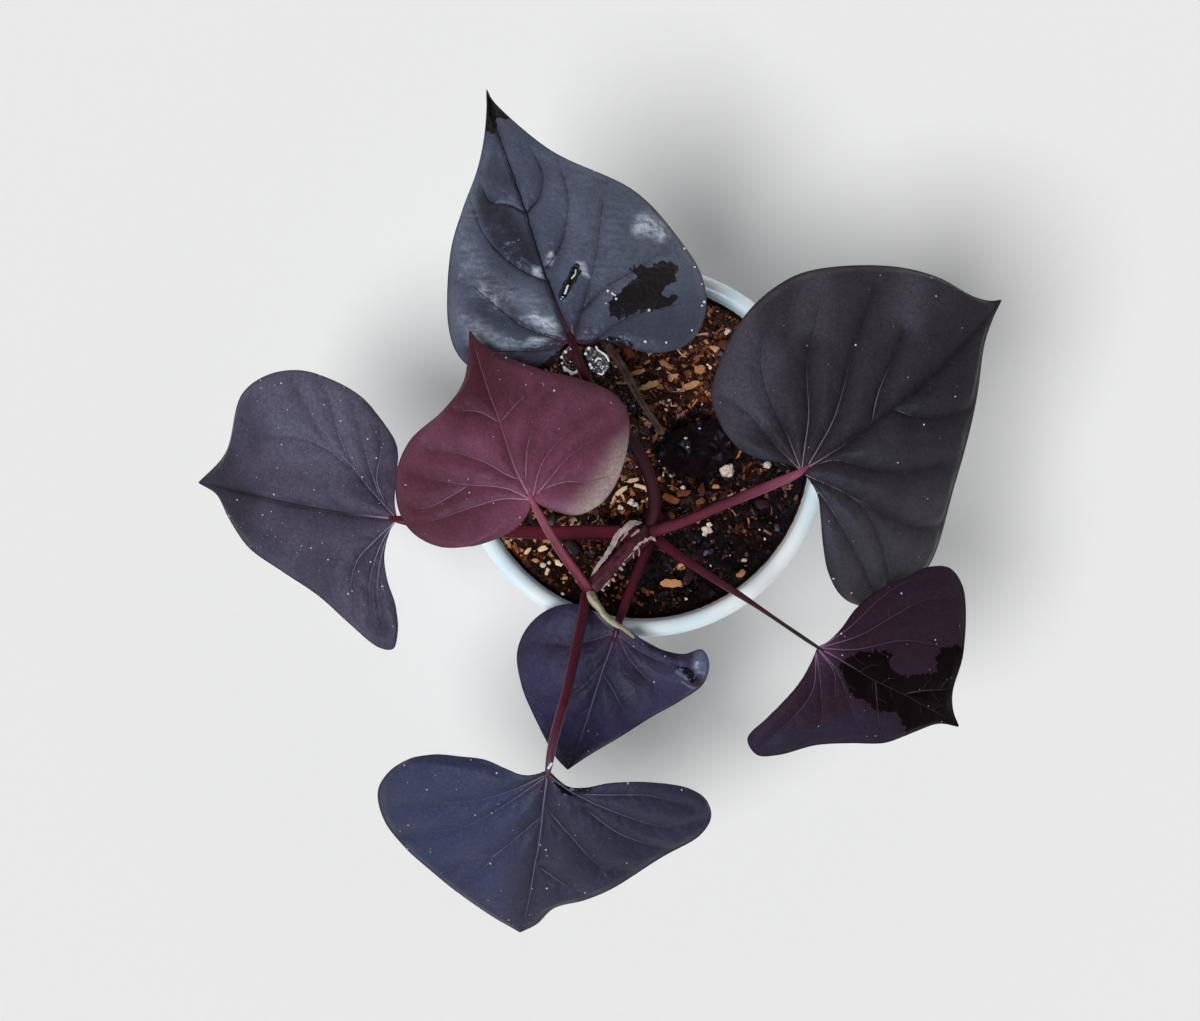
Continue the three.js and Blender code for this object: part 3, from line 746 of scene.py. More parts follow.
@dataclass(frozen=True)
class VeinSkin(Finish):
    """Leaf veins: thin firm cords of plain tissue, taut and a little glossier than the flesh around them."""

    tone: str  # of the blade, which a vein fades into
    midrib: str
    side: str
    root: str
    roughness: float = 0.5
    specular: float = 0.25

    def dress(self, add: Adder) -> Inputs:
        """The root's colour near the stalk, the vein's own beyond it, the blade's tone at its far end."""
        names = ("main", "root", "fade")
        read = [add("ShaderNodeAttribute", attribute_name=name).outputs["Fac"] for name in names]
        main, root, fade = read
        return {
            "Base Color": lay(add, self.side, (main, self.midrib), (root, self.root), (fade, self.tone)),
            "Roughness": self.roughness,
            "Specular IOR Level": self.specular,
        }


@dataclass(frozen=True)
class StalkSkin(Finish):
    """A fleshy leaf stalk: smooth taut skin, wine red, with a painted highlight band on top and short
    lengthwise streaks.
    """

    colour: str
    # The top colour is the painted highlight band along the upper side.
    top: str
    end: str
    root: str = "#2e1119"  # at the joint it grows from
    ridge: float = 0.6  # the painted highlight band starts this far up the stalk's side, from 0 to 1
    roughness: float = 0.36
    # The attributes are in millimetres round and along the stalk: streaks are 0.5 mm wide and 6 mm long.
    streak: Point = (2.0, 0.16, 1.0)
    blotch_size: float = 5
    streaky: float = 1.8  # how strongly the streaks break up the painted highlight band
    patchy: float = 0.7  # how strongly blotches break up the end's colour

    def dress(self, add: Adder) -> Inputs:
        """Colour by place along the stalk, a painted highlight band by side, and streaks that run its way.
        """
        names = ("along", "around", "upper", "far", "near")
        read = [add("ShaderNodeAttribute", attribute_name=name).outputs["Fac"] for name in names]
        along, around, upper, far, near = read
        wound = add("ShaderNodeCombineXYZ", {"X": around, "Y": along, "Z": 0.0})
        shrunk = add("ShaderNodeMapping", {"Vector": wound, "Scale": self.streak})
        streak = add("ShaderNodeTexNoise", {"Vector": shrunk, "Scale": 1.0, "Detail": 4.0})
        place = add("ShaderNodeTexCoord").outputs["Object"]
        coarse = {"Vector": place, "Scale": per_mm(self.blotch_size), "Detail": 3.0}
        blotch = add("ShaderNodeTexNoise", coarse)
        centred = {0: streak, 1: self.streaky, 2: -self.streaky / 2}
        lit = add("ShaderNodeMath", centred, operation="MULTIPLY_ADD")
        # The painted highlight band along the upper side.
        ridge = add("ShaderNodeMapRange", {0: upper, 1: self.ridge, 2: 1.0})
        side = add("ShaderNodeMath", {0: ridge, 1: lit}, use_clamp=True)
        even = {0: blotch, 1: self.patchy, 2: -self.patchy / 2}
        patchy = add("ShaderNodeMath", even, operation="MULTIPLY_ADD")
        reach = add("ShaderNodeMath", {0: far, 1: patchy}, use_clamp=True)
        least, most = self.roughness - 0.08, self.roughness + 0.1
        return {
            "Base Color": lay(add, self.colour, (side, self.top), (reach, self.end), (near, self.root)),
            "Roughness": add("ShaderNodeMapRange", {0: streak, 1: 0.3, 2: 0.7, 3: least, 4: most}),
            "IOR": 1.42,
            "Specular IOR Level": 0.2,
            "Coat Weight": 0.07,
            "Coat Roughness": 0.2,
            "Normal": add("ShaderNodeBump", {"Height": streak, "Strength": 0.4, "Distance": 0.15 * MM}),
        }


@dataclass(frozen=True)
class DryTissue(Finish):
    """Dead plant tissue, dried or rotted: fibrous, patchy, its sheen set by how wet it is."""

    pale: str
    dark: str
    roughness: float = 0.85
    specular: float = 0.3
    wetness: float = 0.0  # weight of a clear wet coat
    streaks: float = 5.0  # how many times longer than wide a streak is
    width: float = 0.6  # of a streak, in millimetres
    relief: float = 0.7

    def dress(self, add: Adder) -> Inputs:
        """Streaks of two tones that run along the piece."""
        names = ("along", "around")
        read = [add("ShaderNodeAttribute", attribute_name=name).outputs["Fac"] for name in names]
        along, around = read
        wound = add("ShaderNodeCombineXYZ", {"X": around, "Y": along, "Z": 0.0})
        scale = (1 / self.width, 1 / (self.width * self.streaks), 1.0)
        shrunk = add("ShaderNodeMapping", {"Vector": wound, "Scale": scale})
        streak = add("ShaderNodeTexNoise", {"Vector": shrunk, "Scale": 1.0, "Detail": 5.0})
        coarse = {"Vector": add("ShaderNodeTexCoord").outputs["Object"], "Scale": per_mm(2.5), "Detail": 3.0}
        total = add("ShaderNodeMath", {0: streak, 1: add("ShaderNodeTexNoise", coarse)})
        share = add("ShaderNodeMapRange", {0: total, 1: 0.75, 2: 1.25})
        relief = {"Height": total, "Strength": self.relief, "Distance": 0.25 * MM}
        return {
            "Base Color": lay(add, self.dark, (share, self.pale)),
            "Roughness": self.roughness,
            "Specular IOR Level": self.specular,
            "Coat Weight": self.wetness,
            "Coat Roughness": 0.08,
            "Normal": add("ShaderNodeBump", relief),
        }


@dataclass(frozen=True)
class StudioPaper(Finish):
    """Matt seamless paper: an even pale grey that takes soft shadows."""

    colour: str = "#eaeaea"
    fibre: str = "#e8e8e8"

    def dress(self, add: Adder) -> Inputs:
        """The faintest fibre in the tone."""
        scale = {"Vector": add("ShaderNodeTexCoord").outputs["Object"], "Scale": per_mm(3), "Detail": 2.0}
        fibre = add("ShaderNodeTexNoise", scale)
        face = lay(add, self.colour, (fibre, self.fibre))
        return {"Base Color": face, "Roughness": 1.0, "Specular IOR Level": 0.0}


# ------------------------ scatter with Geometry Nodes


class Grain(Enum):
    """The shape of one grain that is strewn over a surface."""

    CHIP = "chip"
    SLIVER = "sliver"
    CRUMB = "crumb"
    PERLITE = "perlite"
    FIBRE = "fibre"
    BEAD = "bead"


# Length, width and thickness of the grains that are cut from a block, and points along each.
BLOCKS = {
    Grain.CHIP: ((1.0, 0.55, 0.3), (3, 3, 2)),
    Grain.SLIVER: ((1.0, 0.2, 0.13), (3, 2, 2)),
    Grain.CRUMB: ((1.0, 0.8, 0.6), (2, 2, 2)),
}
# The bow of a fibre of length 1, and its radius.
FIBRE_BOW = {
    "Resolution": 6,
    "Start": (-0.5, 0.0, 0.0),
    "Middle": (0.05, 0.3, 0.22),
    "End": (0.5, -0.05, 0.02),
}
FIBRE_SECTION = {"Resolution": 4, "Radius": 0.035}
# Few grains are large: their sizes are skewed to the small end by this power.
SIZE_SKEW = 2.2


@dataclass(frozen=True)
class Strewing:
    """Many small grains strewn over a host surface by a geometry tree."""

    name: str
    grain: Grain
    finish: Finish
    density: float  # grains to a square millimetre
    smallest: float
    largest: float
    seed: int
    tilt: float = 0.0  # most that a grain leans from the surface, in degrees
    roughen: float = 0.0  # how far noise moves a grain's corners, in millimetres
    sink: float = 0.0  # how far a grain of length 1 is pressed in
    wet_share: float = 1.0  # how thick the grains lie where the mix is wet, against where it is dry

    def grain_mesh(self, add: Adder) -> Node:
        """Adds the nodes that make one grain of length 1.

        Args:
            add: Adds a node to the geometry tree.

        Returns:
            The node that gives the grain's mesh.
        """
        if self.grain in BLOCKS:
            size, points = BLOCKS[self.grain]
            counts = {"Vertices " + axis: count for axis, count in zip("XYZ", points)}
            return add("GeometryNodeMeshCube", {"Size": size, **counts})
        if self.grain is Grain.FIBRE:
            line = add("GeometryNodeCurveQuadraticBezier", FIBRE_BOW)
            section = add("GeometryNodeCurvePrimitiveCircle", FIBRE_SECTION)
            parts = {"Curve": line, "Profile Curve": section, "Fill Caps": True}
            return add("GeometryNodeCurveToMesh", parts)
        size = {"Radius": 0.5, "Subdivisions": 1 if self.grain is Grain.BEAD else 2}
        return add("GeometryNodeMeshIcoSphere", size)

    def tree(self) -> NodeTree:
        """Builds the geometry tree, whose named inputs are the sizes and the seed."""
        tree = bpy.data.node_groups.new(self.name + "_strewing", "GeometryNodeTree")
        tree.is_modifier = True
        add = partial(add_node, tree)
        kinds = {"Host": "Geometry", **dict.fromkeys(SIZE_INPUTS, "Float"), "Seed": "Int"}
        for label, kind in kinds.items():
            tree.interface.new_socket(name=label, in_out="INPUT", socket_type="NodeSocket" + kind)
        tree.interface.new_socket(name="Grains", in_out="OUTPUT", socket_type="NodeSocketGeometry")
        given = add("NodeGroupInput").outputs
        seed, lean = given["Seed"], given["Tilt"]
        free = add("GeometryNodeInputNamedAttribute", {"Name": "free"}, data_type="FLOAT")
        dense = add("ShaderNodeMath", {0: given["Density"], 1: free}, operation="MULTIPLY")
        over = {"Mesh": given["Host"], "Density": dense, "Seed": seed}
        strewn = add("GeometryNodeDistributePointsOnFaces", over).outputs
        chance = add("FunctionNodeRandomValue", {"Seed": seed}, data_type="FLOAT").outputs[1]
        skewed = add("ShaderNodeMath", {0: chance, 1: SIZE_SKEW}, operation="POWER")
        size = add("ShaderNodeMapRange", {0: skewed, 3: given["Smallest"], 4: given["Largest"]})
        copies = {"Instance": self.grain_mesh(add), "Rotation": strewn["Rotation"], "Scale": size}
        placed = add("GeometryNodeInstanceOnPoints", {"Points": strewn["Points"], **copies})
        back = add("ShaderNodeMath", {0: lean, 1: -1.0}, operation="MULTIPLY")
        least = add("ShaderNodeCombineXYZ", {0: back, 1: back, 2: 0.0})
        most = add("ShaderNodeCombineXYZ", {0: lean, 1: lean, 2: 2 * math.pi})
        turn = add("FunctionNodeRandomValue", {0: least, 1: most, "Seed": seed}, data_type="FLOAT_VECTOR")
        turned = add("GeometryNodeRotateInstances", {"Instances": placed, "Rotation": turn})
        press = add("ShaderNodeMath", {0: given["Sink"], 1: size}, operation="MULTIPLY")
        down = add("ShaderNodeMath", {0: press, 1: -1.0}, operation="MULTIPLY")
        step = add("ShaderNodeCombineXYZ", {2: down})
        drop = {"Instances": turned, "Translation": step, "Local Space": False}
        sunk = add("GeometryNodeTranslateInstances", drop)
        tint = add("FunctionNodeRandomValue", {"Seed": self.seed + 1}, data_type="FLOAT").outputs[1]
        own = {"Geometry": sunk, "Name": "shade", "Value": tint}
        shaded = add("GeometryNodeStoreNamedAttribute", own, data_type="FLOAT", domain="INSTANCE")
        real = add("GeometryNodeRealizeInstances", {"Geometry": shaded})
        jolt = add("ShaderNodeTexNoise", {"Scale": per_mm(1.3), "Detail": 1.0}).outputs["Color"]
        centred = add("ShaderNodeVectorMath", {0: jolt, 1: (0.5, 0.5, 0.5)}, operation="SUBTRACT")
        push = add("ShaderNodeVectorMath", {0: centred, "Scale": given["Roughen"]}, operation="SCALE")
        moved = add("GeometryNodeSetPosition", {"Geometry": real, "Offset": push})
        smooth = add("GeometryNodeSetShadeSmooth", {0: moved, "Shade Smooth": self.grain not in BLOCKS})
        done = add("GeometryNodeSetMaterial", {"Geometry": smooth, "Material": self.finish.material()})
        add("NodeGroupOutput", {0: done})
        return tree

    def strew(self, host: Object, slot: str) -> Object:
        """Replaces a host surface by the grains strewn over it.

        Args:
            host: A surface whose "free" attribute says how thick the grains lie. It becomes the piece.
            slot: The record's material slot.

        Returns:
            The finished piece.
        """
        host.name = self.name
        modifier = host.modifiers.new("strewing", "NODES")
        modifier.node_group = self.tree()
        # The noise runs from -0.5 to 0.5, so that it is doubled to move a corner all the way.
        sizes = (
            self.density / MM**2,
            self.smallest * MM,
            self.largest * MM,
            math.radians(self.tilt),
            self.roughen * MM * 2,
            self.sink,
        )
        values = {**dict(zip(SIZE_INPUTS, sizes)), "Seed": self.seed}
        for item in modifier.node_group.interface.items_tree:
            if item.in_out == "INPUT" and item.name in values:
                modifier[item.identifier] = values[item.name]
        settle(host)
        return place(host, slot)


def place(
    piece: Object, slot: str, *replaced: str, finish: Finish | None = None
) -> Object:
    """Finishes a piece: gives it its material and rides it on the plant's one body.

    Args:
        piece: The piece.
        slot: The record's material slot; not used.
        *replaced: The nodes that it stands for.
        finish: Its finish, unless it has one.

    Returns:
        The piece.
    """
    if finish:
        piece.data.materials.clear()
        piece.data.materials.append(finish.material())
    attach(piece, BODY)
    if replaced:
        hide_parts(*replaced)
    piece.data.calc_loop_triangles()
    log.info("%s: %d triangles", piece.name, len(piece.data.loop_triangles))
    return piece


# ------------------------ pot


@dataclass(frozen=True)
class Pot:
    """A tapered white pot with a thick rounded rim and four drainage holes."""

    height: float = 95
    rim_radius: float = 56
    rim_width: float = 5
    rim_band: float = 13
    rim_step: float = 3
    rim_edge: float = 0.8
    ledge_inset: Pair = (0.4, 0.3)  # of the points that keep the ledge under the rim crisp
    ledge_rise: Pair = (0.02, 0.25)  # how far it slopes up, at the wall and at its edge
    lip_depth: float = 13
    base_radius: float = 37
    wall: float = 1.8
    floor: float = 2.4
    corner: float = 3
    drain_radius: float = 3.5
    drain_circle: float = 22
    drain_count: int = 4
    drain_sides: int = 32
    sides: int = 176
    wobble: float = 0.12  # how far the thin moulded rim is from a true circle
    finish: Finish = MouldedPlastic("moulded_polypropylene")

    def wall_at(self, z: float) -> float:
        """Radius of the wall's outer face at a height."""
        return self.base_radius + (self.rim_radius - self.rim_step - self.base_radius) * z / self.height

    def inner_at(self, z: float) -> float:
        """Radius of the wall's inner face at a height."""
        return self.wall_at(z) - self.wall

    def profile(self) -> tuple[list[Point], int]:
        """The section from the middle of the underside, round the rim, to the middle of the floor.

        Returns:
            Points as (radius, height), and the number of the first point on the inner face.
        """
        band, lip = self.height - self.rim_band, self.rim_width / 2
        points = [(r, 0.0) for r in np.linspace(0, self.base_radius - self.corner, 8)]
        for turn in np.linspace(0, math.pi / 2, 9)[1:]:
            radius = self.base_radius - self.corner * (1 - math.sin(turn))
            points.append((radius, self.corner * (1 - math.cos(turn))))
        points += [(self.wall_at(z), z) for z in np.linspace(self.corner, band, 16)[1:]]
        points.append((self.wall_at(band) + self.ledge_inset[0], band + self.ledge_rise[0]))
        foot, low = self.rim_radius - self.rim_edge, band + self.ledge_rise[1]
        points.append((foot - self.ledge_inset[1], low))
        for turn in np.linspace(0, math.pi / 2, 5)[1:]:
            radius = foot + self.rim_edge * math.sin(turn)
            points.append((radius, low + self.rim_edge * (1 - math.cos(turn))))
        points += [(self.rim_radius, z) for z in np.linspace(band + 2, self.height - lip, 6)[:-1]]
        for turn in np.linspace(0, math.pi, 21):
            radius = self.rim_radius - lip * (1 - math.cos(turn))
            points.append((radius, self.height - lip * (1 - math.sin(turn))))
        inside = len(points) - 6
        thin = self.height - self.lip_depth
        start = self.rim_radius - self.rim_width
        for share in np.linspace(0, 1, 8)[1:]:
            z = self.height - lip + (thin - self.height + lip) * share
            points.append((start + (self.inner_at(thin) - start) * share, z))
        points += [(self.inner_at(z), z) for z in np.linspace(thin, self.floor, 10)[1:]]
        points += [(r, self.floor) for r in np.linspace(self.inner_at(self.floor), 0, 6)[1:]]
        return points, inside

    def build(self) -> Object:
        """Turns the section round the axis and drills the holes.

        Returns:
            The pot.
        """
        points, inside = self.profile()
        middle = points[1:-1]
        angles = np.arange(self.sides) * 2 * math.pi / self.sides
        # Three and five slow waves round the rim, which die out down the wall.
        sway = np.sin(3 * angles + 0.6) + 0.6 * np.sin(5 * angles + 2.0)
        vertices, marks = [(0.0, 0.0, 0.0)], [0.0]
        for k, (radius, z) in enumerate(middle, 1):
            turned = radius + self.wobble * sway * (z / self.height) ** 3
            vertices += zip(turned * np.cos(angles), turned * np.sin(angles), np.full(self.sides, z))
            marks += [float(k >= inside)] * self.sides
        vertices.append((0.0, 0.0, points[-1][1]))
        marks.append(1.0)
        faces: Faces = []
        last = len(vertices) - 1
        for j in range(self.sides):
            nxt = (j + 1) % self.sides
            faces.append((0, 1 + nxt, 1 + j))
            for k in range(len(middle) - 1):
                low, high = 1 + k * self.sides, 1 + (k + 1) * self.sides
                faces.append((low + j, low + nxt, high + nxt, high + j))
            top = 1 + (len(middle) - 1) * self.sides
            faces.append((last, top + j, top + nxt))
        pot = new_mesh("pot_shell", np.array(vertices), faces, {"inside": np.array(marks)}, 35)
        self.drill(pot)
        return place(pot, "pot_plastic", "pot", finish=self.finish)

    def drill(self, pot: Object) -> None:
        """Cuts the drainage holes through the floor."""
        for i in range(self.drain_count):
            angle = (i + 0.5) / self.drain_count * 2 * math.pi
            shape = bmesh.new()
            bmesh.ops.create_cone(
                shape,
                cap_ends=True,
                segments=self.drain_sides,
                radius1=self.drain_radius * MM,
                radius2=self.drain_radius * MM,
                depth=self.floor * 4 * MM,
            )
            centre = Vector((math.cos(angle), math.sin(angle), 0)) * self.drain_circle * MM
            bmesh.ops.translate(shape, verts=shape.verts, vec=centre)
            mesh = bpy.data.meshes.new("drill")
            shape.to_mesh(mesh)
            shape.free()
            drill = bpy.data.objects.new("drill", mesh)
            bpy.context.scene.collection.objects.link(drill)
            cut = pot.modifiers.new("drain", "BOOLEAN")
            cut.object, cut.operation, cut.solver = drill, "DIFFERENCE", "EXACT"
            settle(pot)
            bpy.data.objects.remove(drill)


# ------------------------ potting mix


# Steps of this size spread the chips' shades evenly. All stay below the second number, so that none is pale.
GOLDEN, DARK_SHADES = 0.618034, 0.75


@dataclass(frozen=True)
class Flake:
    """A thin split flake of bark that lies at a set place."""

    x: float
    y: float
    length: float
    width: float
    turn: float  # of its length from x, in degrees
    shade: float


@dataclass(frozen=True)
class PottingMix:
    """Milled bark compost that fills the pot: a lumpy bed, large chips at set places, and strewn grains."""

    level: float = 86
    edge: float = 49.6
    bank: float = 3.4  # how much higher it lies along the wall
    bottom: float = 2.7
    bottom_radius: float = 35.3
    rings: int = 76
    sides: int = 240
    host_grid: tuple[int, int] = (40, 96)  # rings and sides of the surface that grains are strewn on
    chip_count: int = 40
    chip_seed: int = 11
    chip_sizes: Pair = (1.2, 3.0)
    chip_reach: float = 44.65
    chip_sink: float = 0.1
    chip_shape: Point = (1, 0.6, 0.42)
    chip_squareness: float = 0.6  # power of the superellipsoid that a chip is made from
    chip_rough: Route = ((0.22, 1.1), (0.1, 0.37))  # coarse and fine unevenness, as (share, size)
    heaps: Pair = (0.75, 5.5)  # height and size of the bed's uneven heaps
    chunks: Pair = (0.5, 1.9)  # of its flat-topped chunks
    crumbs: Pair = (0.5, 1.6)  # and of its crumbs
    flake_squareness: Point = (0.55, 0.55, 0.8)
    flake_ends: Pair = (0.5, 0.55)  # how ragged they are, as (share, size)
    flake_sides: Pair = (0.65, 0.8)
    flake_bow: float = 0.05
    flake_rough: Pair = (0.15, 1.0)
    flake_half: float = 0.32  # of a split flake's thickness
    flake_lift: float = 1.3  # of its middle over the bed's slow swells
    kept_free: Route = ((4, -22, 9), (-12, 34, 4), (-6, 25, 4.5), (-1, 15, 4.5), (17, 2, 16))
    bare: Route = ((17, 2, 9), (24, 1, 6))  # under the wilted leaf, as (x, y, radius)
    flakes: tuple[Flake, ...] = (
        Flake(9.1, -40.1, 6.2, 2.2, -3, 1.0),
        Flake(11.9, -34.6, 1.8, 1.2, 20, 1.0),
        Flake(-6.3, -12.0, 4.2, 1.5, 35, 0.98),
        Flake(-2.6, -8.7, 3.6, 1.1, 10, 0.98),
        Flake(-0.2, -10.7, 4.4, 1.2, -15, 0.98),
        Flake(-8.9, -14.6, 2.8, 1.2, 60, 0.93),
        Flake(12.7, -12.7, 4.0, 2.0, 10, 0.75),
        Flake(8.9, -14.4, 5.0, 2.2, -20, 0.8),
        Flake(18.4, -11.7, 4.0, 1.6, 90, 0.72),
        Flake(22.5, -10.7, 2.0, 1.3, 0, 1.0),
        Flake(26.9, -13.8, 2.6, 1.6, 40, 0.97),
        Flake(-1.2, 24.1, 5.0, 1.3, 15, 0.85),
        Flake(2.2, 20.1, 6.0, 1.8, 20, 0.88),
        Flake(15.0, 20.1, 5.0, 1.8, 20, 0.85),
        Flake(17.7, 24.8, 3.0, 2.5, 0, 0.8),
        Flake(29.9, -37.0, 3.0, 1.8, 30, 1.0),
        Flake(7.5, 26.5, 4.5, 1.4, -35, 0.8),
        Flake(24.0, 13.5, 4.0, 1.5, 70, 0.82),
        Flake(-30.2, -29.6, 2.8, 1.5, 20, 0.95),
        Flake(-25.4, -33.9, 2.6, 1.4, -30, 1.0),
        Flake(-34.6, -30.2, 2.6, 1.2, 50, 0.92),
        Flake(-21.0, -36.5, 2.4, 1.2, 10, 0.92),
        Flake(-28.6, -36.4, 2.2, 1.1, 70, 0.95),
        Flake(17.8, -15.2, 2.8, 1.6, 25, 0.78),
        Flake(-32.5, -26.5, 1.9, 1.1, 80, 0.85),
        Flake(-27.6, -31.4, 1.8, 1.0, -50, 0.82),
        Flake(-36.5, -26.0, 2.2, 1.2, 20, 0.88),
        Flake(-23.4, -38.4, 1.7, 0.9, 5, 0.9),
        Flake(-32.2, -33.0, 1.8, 1.1, -20, 0.86),
        Flake(-24.8, -30.3, 1.6, 0.9, 35, 0.8),
        Flake(-18.2, -39.3, 1.9, 1.0, -15, 0.86),
        Flake(-29.2, -27.2, 1.5, 1.0, 10, 0.8),
    )
    perlite: Route = (
        (26.3, -5.9, 2.3), (19.9, -23.9, 1.5), (20.6, -22.2, 0.9), (19.2, -25.2, 0.8), (-3.2, -15.4, 1.2),
        (-1.9, -16.2, 0.9), (-6.5, -17, 0.9), (38.2, -4.1, 1.2), (12.5, -11, 0.8), (31, -33, 0.7),
        (-30, -34.5, 0.9), (2, 30, 0.9), (8.3, 15.7, 0.6), (7.3, 12.6, 0.7),
    )

    perlite_shape: Point = (1.0, 0.8, 0.7)
    perlite_rough: Route = ((0.45, 0.7), (0.12, 0.2))  # coarse and fine unevenness, as (share, size)
    perlite_lift: float = 0.3

    def height(self, x: np.ndarray, y: np.ndarray) -> np.ndarray:
        """The bed's slow swells and the bank at the wall, without its lumps."""
        # Heights in millimetres, and waves in radians for each millimetre.
        swells = 0.7 * np.sin(0.21 * x + 0.13 * y) + 0.6 * np.sin(0.17 * y - 0.25 * x + 1.3)
        bank = self.bank * smoothstep(40, self.edge, np.hypot(x, y))
        return self.level + bank + swells + 0.35 * np.sin(0.55 * x + 0.4) * np.sin(0.5 * y)

    def surface(self, rings: int, sides: int) -> tuple[np.ndarray, Faces]:
        """The top of the bed.

        Args:
            rings: Rows from the middle to the wall.
            sides: Points in a row.

        Returns:
            Vertices in millimetres, and faces that look up.
        """
        radii = np.repeat(np.arange(1, rings + 1) / rings * self.edge, sides)
        angles = np.tile(np.arange(sides) * 2 * math.pi / sides, rings)
        flat = np.stack([np.append(0, radii * np.cos(angles)), np.append(0, radii * np.sin(angles))], axis=1)
        cells = np.array([noise.cell(Vector((x, y, 0)) / self.chunks[1]) for x, y in flat]) - 0.5
        z = self.height(*flat.T) + self.heaps[0] * clouds(flat, self.heaps[1], 3)
        z = z + self.chunks[0] * cells + self.crumbs[0] * clouds(flat, self.crumbs[1])
        faces: Faces = []
        for k in range(sides):
            nxt = (k + 1) % sides
            faces.append((0, 1 + k, 1 + nxt))
            for ring in range(rings - 1):
                low, high = 1 + ring * sides, 1 + (ring + 1) * sides
                faces.append((low + k, high + k, high + nxt, low + nxt))
        return np.column_stack([flat, z]), faces

    def build(self) -> list[Object]:
        """Makes the bed, its chips and its grains.

        Returns:
            The pieces.
        """
        vertices, faces = self.surface(self.rings, self.sides)
        rim = 1 + (self.rings - 1) * self.sides
        foot = len(vertices)
        angles = np.arange(self.sides) * 2 * math.pi / self.sides
        low = self.bottom_radius * np.stack([np.cos(angles), np.sin(angles)], axis=1)
        low = np.column_stack([low, np.full(self.sides, self.bottom)])
        vertices = np.vstack([vertices, low, [[0, 0, self.bottom]]])
        for k in range(self.sides):
            nxt = (k + 1) % self.sides
            faces.append((rim + k, foot + k, foot + nxt, rim + nxt))
            faces.append((len(vertices) - 1, foot + nxt, foot + k))
        bed = new_mesh("mix_bed", vertices, faces, crease=60)
        place(bed, "potting_mix", "potting_mix", finish=Compost("damp_bark_compost"))
        return [bed, self.chips(), self.split_flakes(), self.lumps(), *self.grains()]

    def chips(self) -> Object:
        """The large chips, each a split and weathered lump of bark."""
        draw = dice(self.chip_seed)
        heap = Heap()
        unit, faces = ball(3)
        # A superellipsoid: flatter faces and tighter edges than a ball.
        block = np.sign(unit) * np.abs(unit) ** self.chip_squareness * self.chip_shape
        (coarse, large), (fine, small) = self.chip_rough
        made = 0
        while made < self.chip_count:
            radius = self.chip_reach * math.sqrt(next(draw))
            angle = 2 * math.pi * next(draw)
            x, y = radius * math.cos(angle), radius * math.sin(angle)
            length = self.chip_sizes[0] + (self.chip_sizes[1] - self.chip_sizes[0]) * next(draw)
            turn, tilt = math.pi * next(draw), 0.5 * (next(draw) - 0.5)
            if any(math.hypot(x - fx, y - fy) < reach for fx, fy, reach in self.kept_free):
                continue
            made += 1
            corner = block * length
            # Every chip reads the clouds somewhere else.
            away = corner + (made * 8.0, 0, 0)
            corner *= (1 + coarse * clouds(away, large) + fine * clouds(away, small))[:, None]
            turned = corner @ np.array(Matrix.Rotation(turn, 3, "Z") @ Matrix.Rotation(tilt, 3, "Y")).T
            height = float(self.height(x, y)) + self.chip_sink * length
            heap.add(turned + (x, y, height), faces, shade=made * GOLDEN % DARK_SHADES)
        return place(heap.mesh("large_bark_chips", 35), "potting_mix", finish=Bark("pine_bark_flake"))

    def split_flakes(self) -> Object:
        """Thin flakes that lie on top: long, ragged at both ends and slightly bowed."""
        heap = Heap()
        unit, faces = ball(3)
        plate = np.sign(unit) * np.abs(unit) ** self.flake_squareness
        (ends, ends_size), (edges, edges_size) = self.flake_ends, self.flake_sides
        rough, rough_size = self.flake_rough
        for k, flake in enumerate(self.flakes):
            corner = plate * (flake.length / 2, flake.width / 2, self.flake_half)
            away = corner + (k * 9.0, 0, 0)
            corner[:, 0] *= 1 + ends * clouds(away * (0.2, 1, 1), ends_size)
            corner[:, 1] *= 1 + edges * clouds(away * (1, 0.2, 1) + 40, edges_size)
            corner[:, 2] += self.flake_bow * corner[:, 0] ** 2 + rough * clouds(away, rough_size)
            turned = corner @ np.array(Matrix.Rotation(math.radians(flake.turn), 3, "Z")).T
            height = float(self.height(flake.x, flake.y)) + self.flake_lift
            heap.add(turned + (flake.x, flake.y, height), faces, shade=flake.shade)
        skin = Bark("split_bark_fibre", shift=0.1)
        return place(heap.mesh("split_bark_flakes", 40), "potting_mix", finish=skin)

    def lumps(self) -> Object:
        """The few large grains of perlite that lie on top."""
        heap = Heap()
        unit, faces = ball(4)
        grain = unit * self.perlite_shape
        (coarse, large), (fine, small) = self.perlite_rough
        for k, (x, y, size) in enumerate(self.perlite):
            away = grain + (k * 5.1, 0, 0)
            uneven = 1 + coarse * clouds(away, large) + fine * clouds(away, small)
            middle = float(self.height(x, y)) + 0.5 * size + self.perlite_lift
            heap.add(grain * size * uneven[:, None] + (x, y, middle), faces)
        return place(heap.mesh("large_perlite", 60), "potting_mix", finish=Mineral("expanded_perlite"))

    def host(self, kind: Strewing, wall: float = 1.2) -> Object:
        """A copy of the bed's top for grains to be strewn on.

        Args:
            kind: The grains.
            wall: How far from the wall they stay, in millimetres.

        Returns:
            The host, bare under the wilted leaf and at the wall.
        """
        vertices, faces = self.surface(*self.host_grid)
        flat = vertices[:, :2]
        dry = smoothstep(DRY_FROM, DRY_TO, flat @ DRY_SIDE[:2])
        free = kind.wet_share + (1 - kind.wet_share) * dry
        for x, y, radius in self.bare:
            free *= np.hypot(*(flat - (x, y)).T) > radius
        free *= np.hypot(*flat.T) < self.edge - wall
        return new_mesh(kind.name, vertices, faces, {"free": free})

